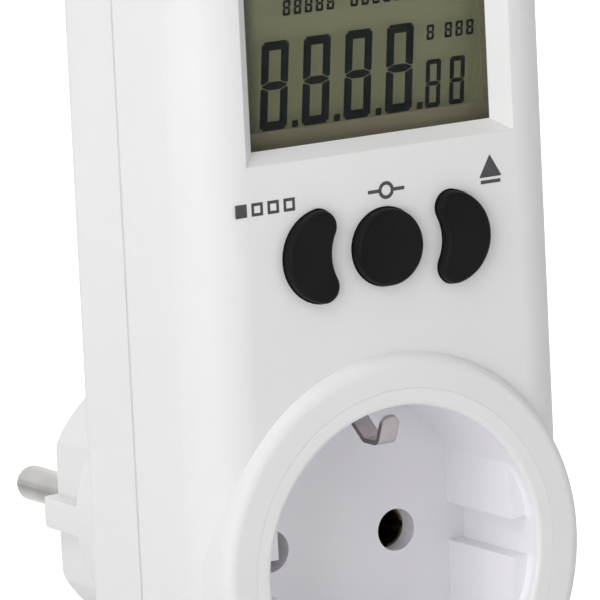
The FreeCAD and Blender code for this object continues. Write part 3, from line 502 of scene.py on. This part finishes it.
def joined(pieces, name):
    """Joins pieces into one and names it."""
    select_only(*pieces)
    bpy.ops.object.join()
    piece = bpy.context.object
    piece.name = name
    piece.data.name = name
    return piece


def drop(*patterns):
    """Deletes pattern pieces that were only copied."""
    for pattern in patterns:
        bpy.data.objects.remove(pattern, do_unlink=True)


def stand(piece, level, thickness):
    """Turns a flat drawing upright, with its back at a level along Y, and thickens it forwards."""
    merge_within = 1e-6
    select_only(piece)
    bpy.ops.object.mode_set(mode="EDIT")
    bpy.ops.mesh.select_all(action="SELECT")
    bpy.ops.mesh.remove_doubles(threshold=merge_within)
    bpy.ops.mesh.extrude_region_move(TRANSFORM_OT_translate={"value": (0, 0, thickness)})
    bpy.ops.mesh.select_all(action="SELECT")
    bpy.ops.mesh.normals_make_consistent(inside=False)
    leave_edit()
    piece.data.transform(Matrix.Translation((0, level, 0)) @ Matrix.Rotation(math.pi / 2, 4, "X"))
    return piece


def segment(reach, stroke, near_mitre, far_mitre):
    """One long segment along X: outer edge at y 0, inner edge drawn in at each end, outer corners rounded."""
    inner_edge, outer_edge, rounding = -0.9 * stroke, -0.1 * stroke, 0.42 * stroke
    piece = flat("segment", reach, stroke, (0, -stroke / 2, 0))
    edit("EDGE")
    pick("EDGE", lambda middle: middle.y < inner_edge)
    bpy.ops.transform.resize(value=((reach - (near_mitre + far_mitre) * stroke) / reach, 1, 1))
    bpy.ops.transform.translate(value=((near_mitre - far_mitre) * stroke / 2, 0, 0))
    leave_edit()
    edit("VERT")
    pick("VERT", lambda middle: middle.y > outer_edge)
    bpy.ops.mesh.bevel(offset=rounding, segments=3, affect="VERTICES")
    leave_edit()
    return piece


def middle_segment(straight, point, stroke):
    """The bar across a digit's middle, with a long point at each end."""
    point_share, near_end = 0.12, 0.45
    piece = flat("middle_segment", straight, stroke)
    for side in (-1, 1):
        edit("EDGE")
        pick("EDGE", lambda middle: side * middle.x > near_end * straight)
        bpy.ops.mesh.extrude_region_move(TRANSFORM_OT_translate={"value": (side * point, 0, 0)})
        bpy.ops.transform.resize(value=(1, point_share, 1))
        leave_edit()
    return piece


def digit(name, width, height, stroke, gap):
    """A figure of seven segments in XY, centred across, its foot at y 0."""
    corner_mitre, middle_mitre, point_reach, bar_share = 0.9, 0.5, 0.85, 0.9
    cross = segment(width - gap, stroke, corner_mitre, corner_mitre)
    upright = segment(height / 2 - gap, stroke, corner_mitre, middle_mitre)
    bar = middle_segment(width - 2 * stroke, stroke * point_reach, stroke * bar_share)
    turn = Matrix.Rotation
    parts = [twin(cross, Matrix.Translation((0, height, 0))),
             twin(cross, turn(math.pi, 4, "Z")),
             twin(bar, Matrix.Translation((0, height / 2, 0)))]
    for side in (-1, 1):
        for up in (-1, 1):
            place = Matrix.Translation((side * width / 2, height * (0.5 + up / 4), 0))
            flip = Matrix.Scale(side * up, 4, (1, 0, 0))
            parts.append(twin(upright, place @ turn(-side * math.pi / 2, 4, "Z") @ flip))
    drop(cross, upright, bar)
    return joined(parts, name)


def row_of(pattern, places, name):
    """Copies of one drawing at (x, y) places, joined."""
    return joined([twin(pattern, Matrix.Translation((x, y, 0))) for x, y in places], name)


def slanted(piece, slant, foot):
    """Leans a flat drawing to the right about its foot line."""
    lean = Matrix.Identity(4)
    lean[0][1] = math.tan(slant)
    lean[0][3] = -math.tan(slant) * foot
    piece.data.transform(lean)
    return piece


class METER_OT_case_shells(bpy.types.Operator):
    """Satin white finish of the two case shells"""
    bl_idname = "meter.case_shells"
    bl_label = "Case shells"

    def execute(self, context):
        tint = colours()
        shell = finish("housing_shell", tint.case, tint.case_shade, patches=22.0, smooth=0.48, rough=0.56,
                       marks_per_metre=90.0, grain=4200.0, ripple=0.3, depth=0.0025, IOR=1.5,
                       Specular_IOR_Level=0.3)
        dress(shell, "front_cover", "rear_cover")
        return {"FINISHED"}


class METER_OT_socket_bowl(bpy.types.Operator):
    """Smooth bluish white finish of the socket's bowl"""
    bl_idname = "meter.socket_bowl"
    bl_label = "Socket bowl"

    def execute(self, context):
        tint = colours()
        bowl = finish("socket_moulding", tint.socket, tint.socket_shade, patches=18.0, smooth=0.29,
                      rough=0.32, marks_per_metre=25.0, grain=1500.0, ripple=0.1, depth=0.0002, IOR=1.5)
        front = SOCKET[0].y
        blended(bowl, tint.case, "Y", front + LIP_START, front + LIP_END, 1.0, 0.0)
        dress(bowl, "socket_insert")
        self.seam(bowl, front)
        return {"FINISHED"}

    def seam(self, bowl, front):
        """A thin bead just below the face, in the gap between the bowl's lip and the collar."""
        bpy.ops.mesh.primitive_circle_add(vertices=SEAM_FACETS, radius=SEAM_INNER, fill_type="NOTHING",
                                          location=(0, 0, 0))
        bead = new_piece("bowl_seam")
        edit("EDGE")
        bpy.ops.mesh.select_all(action="SELECT")
        bpy.ops.mesh.extrude_edges_move()
        widen = SEAM_OUTER / SEAM_INNER
        bpy.ops.transform.resize(value=(widen, widen, 1))
        leave_edit()
        stand(bead, front + SEAM_SINK + SEAM_DEPTH, SEAM_DEPTH)
        bead.data.materials.append(bowl)
        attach(bead, "housing")


class METER_OT_screws(bpy.types.Operator):
    """Zinc-plated finish of every screw and rivet"""
    bl_idname = "meter.screws"
    bl_label = "Screws and rivets"

    def execute(self, context):
        zinc = metal("screw_metal", (0.56, 0.56, 0.57), (0.46, 0.46, 0.48), smooth=0.29, rough=0.42,
                     stretch=(1.0, 0.15, 1.0), lines=5000.0)
        dress(zinc, "case_screws", "insert_screws", "carrier_screws", "board_screws", "earth_rivets")
        return {"FINISHED"}


class METER_OT_earth_parts(bpy.types.Operator):
    """Dull nickel on the earth clips, bar and plug contacts"""
    bl_idname = "meter.earth_parts"
    bl_label = "Earth parts"

    def execute(self, context):
        dull = metal("earth_metal", (0.60, 0.56, 0.56), (0.50, 0.46, 0.46), smooth=0.36, rough=0.5,
                     stretch=(1.0, 0.1, 0.1), lines=9000.0, depth=0.002)
        # painted shade: every earth part darkens towards 1.3 mm from X 0, which puts shade on the clips' side
        # faces and the rims of their broad faces
        edge_shade_tone, edge_shade_share = (0.10, 0.09, 0.09), 0.8
        blended(dull, edge_shade_tone, "X", CLIP_HALF - EDGE_SHADE_WIDTH, CLIP_HALF, 0.0, edge_shade_share, both_sides=True)
        dress(dull, "earth_clip_upper", "earth_clip_lower", "earth_strap",
              "plug_earth_contact_upper", "plug_earth_contact_lower")
        return {"FINISHED"}


class METER_OT_live_parts(bpy.types.Operator):
    """Nickel on the pins, brass on the sleeves and straps, and the black carrier round them"""
    bl_idname = "meter.live_parts"
    bl_label = "Pins and contacts"

    def execute(self, context):
        nickel = metal("pin_metal", (0.47, 0.465, 0.455), (0.41, 0.405, 0.40), smooth=0.16, rough=0.25,
                       stretch=(1.0, 0.05, 1.0), lines=7000.0, depth=0.001)
        # brass darkened far below bright brass: dull tarnish, and painted shade standing in for the dark inside
        # of the socket holes
        brass = metal("contact_metal", (0.27, 0.20, 0.11), (0.20, 0.145, 0.08), smooth=0.34, rough=0.48,
                      stretch=(1.0, 0.2, 0.2))
        copper = metal("shunt_metal", (0.45, 0.27, 0.17), (0.37, 0.21, 0.12), smooth=0.32, rough=0.48,
                       stretch=(1.0, 1.0, 0.2))
        carrier = finish("carrier_plastic", (0.018, 0.018, 0.019), (0.026, 0.026, 0.027), smooth=0.42,
                         rough=0.56, grain=3500.0, depth=0.005)
        dress(nickel, "live_pin", "neutral_pin")
        dress(brass, "live_contact", "neutral_contact", "live_strap", "neutral_strap")
        dress(copper, "current_shunt")
        dress(carrier, "contact_carrier")
        return {"FINISHED"}


class METER_OT_keys(bpy.types.Operator):
    """Matt black rubber keys, the grey mat under them and their conducting pills"""
    bl_idname = "meter.keys"
    bl_label = "Keys"

    def execute(self, context):
        tint = colours()
        rubber = finish("key_rubber", tint.key, tint.key_shade, patches=150.0, smooth=0.5, rough=0.62,
                        marks_per_metre=300.0, grain=9000.0, ripple=0.2, depth=0.006,
                        Specular_IOR_Level=0.12, Sheen_Weight=0.015, Sheen_Roughness=0.5)
        mat = finish("mat_rubber", (0.26, 0.26, 0.27), (0.22, 0.22, 0.23), smooth=0.55, rough=0.7,
                     grain=6000.0, depth=0.006)
        pill = finish("contact_pill", (0.02, 0.02, 0.021), (0.03, 0.03, 0.03), smooth=0.5, rough=0.65,
                      grain=9000.0, depth=0.004)
        dress(rubber, "mode_key", "set_key", "up_key")
        dress(mat, "keypad_mat")
        dress(pill, "mode_key_pill", "set_key_pill", "up_key_pill")
        return {"FINISHED"}


def sheet_of_glass(name, tone, second, alpha, smooth, rough):
    """A clear finish that shows what lies behind it."""
    return finish(name, tone, second, patches=25.0, smooth=smooth, rough=rough, marks_per_metre=60.0,
                  grain=900.0, ripple=0.2, depth=0.0006, Alpha=alpha, IOR=1.49)


class METER_OT_display_cell(bpy.types.Operator):
    """Clear pane, the two display glasses, the reflector behind them, the holder and the rubber strip"""
    bl_idname = "meter.display_cell"
    bl_label = "Display cell"

    def execute(self, context):
        tint = colours()
        pane = sheet_of_glass("clear_pane", (0.2, 0.2, 0.19), (0.18, 0.18, 0.17), alpha=0.015, smooth=0.06,
                              rough=0.12)
        glass = sheet_of_glass("display_glass", (0.08, 0.08, 0.06), (0.07, 0.07, 0.05), alpha=0.02,
                               smooth=0.12, rough=0.2)
        # the reflector glows with its own colour: painted light that evens out the shade the window's edges
        # cast on it
        reflector = finish("display_back", tint.cell, tint.cell_shade, patches=35.0, smooth=0.5, rough=0.65,
                           marks_per_metre=200.0, grain=7000.0, ripple=0.1, depth=0.004,
                           Emission_Strength=0.45)
        # painted shadow: the reflector's left is darkened in place of the window edge's shadow, and the glow
        # below carries it too
        painted_shadow_tone, painted_shadow_share = (0.03, 0.03, 0.026), 0.7
        blended(reflector, painted_shadow_tone, "X", PAINTED_SHADOW_START, PAINTED_SHADOW_END, painted_shadow_share, 0.0)
        shader = reflector.node_tree.nodes["Principled BSDF"]
        reflector.node_tree.links.new(shader.inputs["Base Color"].links[0].from_socket,
                                      shader.inputs["Emission Color"])
        holder = finish("frame_plastic", (0.50, 0.50, 0.49), (0.46, 0.46, 0.45), smooth=0.4, rough=0.5)
        strip = finish("zebra_rubber", (0.12, 0.10, 0.09), (0.05, 0.045, 0.045), patches=4000.0, smooth=0.5,
                       rough=0.65, grain=8000.0)
        dress(pane, "lcd_window")
        dress(glass, "lcd_front_glass", "lcd_rear_glass")
        dress(reflector, "lcd_reflector")
        dress(holder, "lcd_holder")
        dress(strip, "zebra_strip")
        return {"FINISHED"}


class METER_OT_display_border(bpy.types.Operator):
    """Olive border round the cell: it covers the contact ledge below and the reflector's edges"""
    bl_idname = "meter.display_border"
    bl_label = "Display border"

    def execute(self, context):
        size = display()
        tint = colours()
        low, high = FRONT_GLASS[0], FRONT_GLASS[1]
        edge = size.ink_thickness
        shelf = REFLECTOR[0].z + size.border_lap
        sheets = [self.sheet(low.x + edge, high.x - edge, low.z + edge, shelf)]
        for left, right in ((low.x + edge, low.x + size.border_side),
                            (high.x - size.border_side, high.x - edge)):
            sheets.append(self.sheet(left, right, shelf, high.z - edge))
        border = stand(joined(sheets, "display_border"), REAR_GLASS[0].y - edge, edge)
        seal = finish("display_seal", tint.border, tint.border_shade, patches=120.0, smooth=0.45, rough=0.6,
                      grain=6000.0, depth=0.002, Specular_IOR_Level=0.2)
        border.data.materials.append(seal)
        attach(border, "housing")
        return {"FINISHED"}

    def sheet(self, left, right, low, high):
        """A flat rectangle drawn in XY."""
        return flat("sheet", right - left, high - low, ((left + right) / 2, (low + high) / 2, 0))


class METER_OT_display_digits(bpy.types.Operator):
    """Dark segments at the back of the front glass: large, small and tiny digits with their points"""
    bl_idname = "meter.display_digits"
    bl_label = "Display digits"

    def execute(self, context):
        size = display()
        foot = WINDOW_FOOT + size.digit_foot
        top_foot = foot + size.top_rise
        first = size.digit_left + size.digit_width / 2
        starts = [first + i * size.digit_pitch for i in range(size.large_digits)]
        pairs = [size.top_left + i * size.top_group for i in range(size.top_pairs)]
        rows = [self.large_row(size, starts, foot), *self.small_rows(size, pairs, foot, top_foot),
                *self.point_rows(size, starts, pairs, foot, top_foot), self.tiny_rows(size, foot)]
        ink = finish("display_ink", colours().ink, (0.006, 0.009, 0.0095), patches=300.0, smooth=0.4,
                     rough=0.55, grain=5000.0, depth=0.001, Specular_IOR_Level=0.05)
        level = REAR_GLASS[0].y - size.ink_thickness
        for row in rows:
            slanted(row, size.slant, foot + size.digit_height / 2)
            stand(row, level, size.ink_thickness)
            row.data.materials.clear()
            row.data.materials.append(ink)
            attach(row, "housing")
        return {"FINISHED"}

    def large_row(self, size, starts, foot):
        """The large figures."""
        large = digit("large", size.digit_width, size.digit_height, size.digit_stroke, size.segment_gap)
        row = row_of(large, [(x, foot) for x in starts], "display_large_digits")
        drop(large)
        return row

    def small_rows(self, size, pairs, foot, top_foot):
        """The figures behind the last point, and the pairs of the top row."""
        gap_share = 0.8
        small = digit("small", size.small_width, size.small_height, size.small_stroke,
                      size.segment_gap * gap_share)
        first = size.small_left + size.small_width / 2
        behind = row_of(small, [(first + i * size.small_pitch, foot) for i in range(size.small_digits)],
                        "display_small_digits")
        top = row_of(small, [(x + i * size.small_pitch, top_foot) for x in pairs for i in (0, 1)],
                     "display_top_digits")
        drop(small)
        return behind, top

    def point_rows(self, size, starts, pairs, foot, top_foot):
        """A point behind each large figure, and a colon between two pairs of the top row."""
        rounding, gap_share, colon_shares = 0.16, 0.56, (0.3, 0.7)
        bpy.ops.mesh.primitive_plane_add(size=size.point_size, location=(0, size.point_size / 2, 0))
        point = new_piece("point")
        round_corners(size.point_size * rounding)
        behind = size.digit_width / 2 + (size.digit_pitch - size.digit_width) * gap_share
        points = row_of(point, [(x + behind, foot) for x in starts], "display_points")
        between = (size.small_pitch + size.top_group) / 2
        levels = [top_foot + share * size.small_height - size.point_size / 2 for share in colon_shares]
        colons = row_of(point, [(x + between, y) for x in pairs[:-1] for y in levels], "display_colons")
        drop(point)
        return points, colons

    def tiny_rows(self, size, foot):
        """The tiny figures of the upper row and of the row at the side, as one piece."""
        gap_share = 0.45
        tiny = digit("tiny", size.tiny_width, size.tiny_height, size.tiny_stroke,
                     size.segment_gap * gap_share)
        parts = ((size.upper_left, size.upper_rise, size.upper_count),
                 (size.upper_second, size.upper_rise, size.upper_second_count),
                 (size.side_left, size.side_rise, size.side_count),
                 (size.side_second, size.side_rise, size.side_second_count))
        places = [(left + i * size.tiny_pitch, foot + rise) for left, rise, count in parts
                  for i in range(count)]
        row = row_of(tiny, places, "display_tiny_digits")
        drop(tiny)
        return row


class METER_OT_key_marks(bpy.types.Operator):
    """Plain printed marks over the keys: a row of squares, a slider and an arrow"""
    bl_idname = "meter.key_marks"
    bl_label = "Marks over the keys"

    def execute(self, context):
        size = marks()
        ink = finish("print_ink", colours().print_ink, (0.06, 0.06, 0.065), patches=500.0, smooth=0.4,
                     rough=0.55, grain=6000.0, depth=0.001)
        sink_share = 0.3
        sink = sink_share * size.print_thickness
        for piece in (self.steps(size), self.slider(size), self.arrow(size)):
            stand(piece, CASE_FRONT + sink, size.print_thickness + sink)
            piece.data.materials.clear()
            piece.data.materials.append(ink)
            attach(piece, "housing")
        return {"FINISHED"}

    def steps(self, size):
        """Four squares in a row, the first one filled."""
        squares, side_share, line_share = 4, 0.62, 0.85
        side = size.mark_height * side_share
        pitch = (size.steps_width - side) / (squares - 1)
        bpy.ops.mesh.primitive_plane_add(size=side, location=(0, 0, 0))
        full = new_piece("full_square")
        hollow = twin(full, Matrix.Identity(4))
        select_only(hollow)
        hollow_out(size.mark_stroke * line_share)
        first, y = size.steps_place - (squares - 1) * pitch / 2, KEY_ROW + size.mark_rise
        row = [twin(hollow if i else full, Matrix.Translation((first + i * pitch, y, 0)))
               for i in range(squares)]
        drop(full, hollow)
        return joined(row, "mode_mark")

    def slider(self, size):
        """A line with a ring on it."""
        radius_share, facets = 0.42, 40
        radius = size.mark_height * radius_share
        bpy.ops.mesh.primitive_circle_add(vertices=facets, radius=radius, fill_type="NGON", location=(0, 0, 0))
        ring = new_piece("ring")
        hollow_out(size.mark_stroke)
        arm = size.slider_width / 2 - radius
        line = flat("line", arm, size.mark_stroke)
        x, y = size.slider_place, KEY_ROW + size.mark_rise
        parts = [twin(ring, Matrix.Translation((x, y, 0)))]
        for side in (-1, 1):
            parts.append(twin(line, Matrix.Translation((x + side * (radius + arm / 2), y, 0))))
        drop(ring, line)
        return joined(parts, "set_mark")

    def arrow(self, size):
        """A triangle over a short line."""
        radius_share, rounding, head_rise, line_drop, line_share = 0.72, 0.3, 0.35, 0.45, 0.8
        radius = size.mark_height * radius_share
        bpy.ops.mesh.primitive_circle_add(vertices=3, radius=radius, fill_type="NGON", location=(0, 0, 0))
        head = new_piece("head")
        round_corners(size.mark_stroke * rounding)
        x, y = size.arrow_place, KEY_ROW + size.mark_rise
        parts = [twin(head, Matrix.Translation((x, y + radius * head_rise, 0)))]
        line = flat("line", size.arrow_width * line_share, size.mark_stroke)
        parts.append(twin(line, Matrix.Translation((x, y - radius * line_drop, 0))))
        drop(head, line)
        return joined(parts, "up_mark")


class METER_OT_circuit_board(bpy.types.Operator):
    """Green board and the finishes of what is soldered to it"""
    bl_idname = "meter.circuit_board"
    bl_label = "Circuit board"

    def execute(self, context):
        # finish, its two tones, smoothest and roughest value, and the piece that has it
        coats = (("circuit_board", (0.02, 0.13, 0.05), (0.015, 0.10, 0.04), 0.3, 0.42, "main_board"),
                 ("chip_plastic", (0.02, 0.02, 0.021), (0.028, 0.028, 0.028), 0.5, 0.62, "meter_chip"),
                 ("film_capacitor_case", (0.56, 0.36, 0.03), (0.5, 0.31, 0.025), 0.3, 0.42,
                  "dropper_capacitor"),
                 ("varistor_coat", (0.02, 0.09, 0.32), (0.016, 0.07, 0.27), 0.3, 0.45, "varistor"),
                 ("cell_sleeve", (0.05, 0.30, 0.10), (0.04, 0.25, 0.08), 0.28, 0.36, "backup_cell"),
                 ("resistor_coat", (0.50, 0.38, 0.22), (0.42, 0.31, 0.17), 0.35, 0.5, "resistors"))
        for name, tone, second, smooth, rough, piece in coats:
            dress(finish(name, tone, second, smooth=smooth, rough=rough, grain=5000.0), piece)
        can = metal("capacitor_can", (0.62, 0.62, 0.63), (0.54, 0.54, 0.55), smooth=0.29, rough=0.4,
                    stretch=(1.0, 0.1, 1.0))
        crystal = metal("crystal_can", (0.56, 0.56, 0.56), (0.48, 0.48, 0.49), smooth=0.29, rough=0.38,
                        stretch=(1.0, 1.0, 0.1))
        dress(can, "electrolytic_capacitor")
        dress(crystal, "crystal")
        return {"FINISHED"}


class METER_OT_stage(bpy.types.Operator):
    """Pale floor that curves up into a backdrop, soft studio light and the camera"""
    bl_idname = "meter.stage"
    bl_label = "Stage"

    def execute(self, context):
        self.backdrop()
        self.lights()
        self.camera()
        return {"FINISHED"}

    def backdrop(self):
        """A floor whose far edge is drawn up into a wall, with a wide bend between them."""
        width, front, back, height, bend, near = 6.0, -2.5, 2.2, 2.6, 0.9, 0.01
        floor = flat("backdrop", width, back - front, (0, (front + back) / 2, FLOOR_LEVEL))
        edit("EDGE")
        pick("EDGE", lambda place: place.y > back - near)
        bpy.ops.mesh.extrude_region_move(TRANSFORM_OT_translate={"value": (0, 0, height)})
        leave_edit()
        edit("EDGE")
        pick("EDGE", lambda place: place.y > back - near and place.z < FLOOR_LEVEL + near)
        bpy.ops.mesh.bevel(offset=bend, segments=24, affect="EDGES")
        leave_edit()
        bpy.ops.object.shade_smooth()
        floor.data.materials.append(self.paper())

    def paper(self):
        """White paper that glows behind the object along the line of sight, up the wall and far out."""
        paper = finish("paper", (0.92, 0.92, 0.92), (0.91, 0.91, 0.91), patches=2.0, smooth=0.8, rough=0.9,
                       grain=800.0, depth=0.01)
        tree = paper.node_tree
        shader = tree.nodes["Principled BSDF"]
        place = tree.nodes.new("ShaderNodeTexCoord").outputs["Object"]
        turn = math.radians(VIEW_TURN)
        strip_start, strip_full, strip_middle, strip_half, strip_fade = 0.02, 0.08, 0.02, 0.065, 0.13
        wall_start, wall_full, far_start, far_full = 0.1, 0.5, 0.25, 0.8
        ahead = self.along(tree, place, (math.sin(turn), math.cos(turn), 0.0))
        across = self.along(tree, place, (math.cos(turn), -math.sin(turn), 0.0))
        aside = sums(tree, "ABSOLUTE", sums(tree, "SUBTRACT", across, strip_middle), 0.0)
        behind = spread(tree, ahead, strip_start, strip_full, 0.0, 1.0)
        within = spread(tree, aside, strip_half, strip_fade, 1.0, 0.0)
        strip = spread(tree, sums(tree, "MULTIPLY", behind, within), 0.0, 1.0, PAPER_GLOW, STRIP_GLOW)
        height = self.along(tree, place, (0.0, 0.0, 1.0))
        wall = spread(tree, height, wall_start, wall_full, 0.0, WALL_GLOW)
        squared = sums(tree, "ADD", sums(tree, "MULTIPLY", ahead, ahead),
                       sums(tree, "MULTIPLY", across, across))
        far = spread(tree, squared, far_start ** 2, far_full ** 2, 0.0, FAR_GLOW)
        glow = sums(tree, "MAXIMUM", sums(tree, "MAXIMUM", strip, wall), far)
        tree.links.new(glow, shader.inputs["Emission Color"])
        shader.inputs["Emission Strength"].default_value = 1.0
        return paper

    def along(self, tree, place, direction):
        """How far a place lies along a direction."""
        node = tree.nodes.new("ShaderNodeVectorMath")
        node.operation = "DOT_PRODUCT"
        tree.links.new(place, node.inputs[0])
        node.inputs[1].default_value = direction
        return node.outputs["Value"]

    def lights(self):
        """Soft lights in front, at the left, above, at the right and behind, in a faint surround."""
        target, distance = Vector((0, -0.04, 0.03)), 0.8
        sky_tone, sky_strength, clear_layers = (0.98, 0.99, 1.0, 1.0), 0.02, 32
        for name, turn, rise, width, height, power in LAMPS:
            turn, rise = math.radians(turn), math.radians(rise)
            level = math.cos(rise)
            towards = Vector((math.sin(turn) * level, -math.cos(turn) * level, math.sin(rise)))
            place = target + distance * towards
            lamp = bpy.data.lights.new(name, "AREA")
            lamp.shape = "RECTANGLE"
            lamp.size = width
            lamp.size_y = height
            lamp.energy = power
            holder = bpy.data.objects.new(name, lamp)
            holder.location = place
            holder.rotation_euler = (target - place).to_track_quat("-Z", "Y").to_euler()
            bpy.context.scene.collection.objects.link(holder)
        world = bpy.data.worlds.new("surround")
        world.use_nodes = True
        sky = world.node_tree.nodes["Background"]
        sky.inputs["Color"].default_value = sky_tone
        sky.inputs["Strength"].default_value = sky_strength
        bpy.context.scene.world = world
        bpy.context.scene.view_settings.view_transform = "Standard"
        bpy.context.scene.cycles.transparent_max_bounces = clear_layers

    def camera(self):
        """The photograph's viewpoint: turned to the object's left, looking slightly down."""
        turn, tilt, roll = math.radians(VIEW_TURN), math.radians(10.22), math.radians(-2.77)
        distance, focal_pixels, frame_pixels, sensor = 1.030, 8271.25, 600, 36.0
        target = Vector((-13.91, -60.6, 35.44)) * MM
        ahead = Vector((math.sin(turn) * math.cos(tilt), math.cos(turn) * math.cos(tilt), -math.sin(tilt)))
        level = Vector((math.cos(turn), -math.sin(turn), 0))
        upright = level.cross(ahead)
        right = math.cos(roll) * level + math.sin(roll) * upright
        up = math.cos(roll) * upright - math.sin(roll) * level
        lens = bpy.data.cameras.new("camera")
        lens.sensor_width = sensor
        lens.lens = focal_pixels / frame_pixels * sensor
        lens.clip_start = 0.05
        lens.clip_end = 20.0
        view = bpy.data.objects.new("camera", lens)
        facing = Matrix((right, up, -ahead)).transposed()
        view.matrix_world = Matrix.Translation(target - distance * ahead) @ facing.to_4x4()
        bpy.context.scene.collection.objects.link(view)
        bpy.context.scene.camera = view


OPERATORS = (METER_OT_case_shells, METER_OT_socket_bowl, METER_OT_screws, METER_OT_earth_parts,
             METER_OT_live_parts, METER_OT_keys, METER_OT_display_cell, METER_OT_display_border,
             METER_OT_display_digits, METER_OT_key_marks, METER_OT_circuit_board, METER_OT_stage)


class METER_PT_sidebar(bpy.types.Panel):
    """Lists the pieces of the meter and the sizes and colours behind them"""
    bl_idname = "METER_PT_sidebar"
    bl_label = "Energy cost meter"
    bl_space_type = "VIEW_3D"
    bl_region_type = "UI"
    bl_category = "Meter"

    def draw(self, context):
        for operator in OPERATORS:
            self.layout.operator(operator.bl_idname)
        for group in (context.scene.meter_display, context.scene.meter_marks, context.scene.meter_colours):
            box = self.layout.box()
            for name in group.__annotations__:
                box.prop(group, name)


CLASSES = (MeterDisplaySizes, MeterMarkSizes, MeterColours, *OPERATORS, METER_PT_sidebar)


def register():
    """Registers the classes and hangs the settings on the scene."""
    for item in CLASSES:
        bpy.utils.register_class(item)
    bpy.types.Scene.meter_display = PointerProperty(type=MeterDisplaySizes)
    bpy.types.Scene.meter_marks = PointerProperty(type=MeterMarkSizes)
    bpy.types.Scene.meter_colours = PointerProperty(type=MeterColours)


def unregister():
    """Takes the settings and the classes away again."""
    del bpy.types.Scene.meter_display
    del bpy.types.Scene.meter_marks
    del bpy.types.Scene.meter_colours
    for item in reversed(CLASSES):
        bpy.utils.unregister_class(item)


def main():
    """Makes the object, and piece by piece."""
    register()
    select_only()
    for operator in OPERATORS:
        group, name = operator.bl_idname.split(".")
        getattr(getattr(bpy.ops, group), name)()


if __name__ == "__main__":
    main()
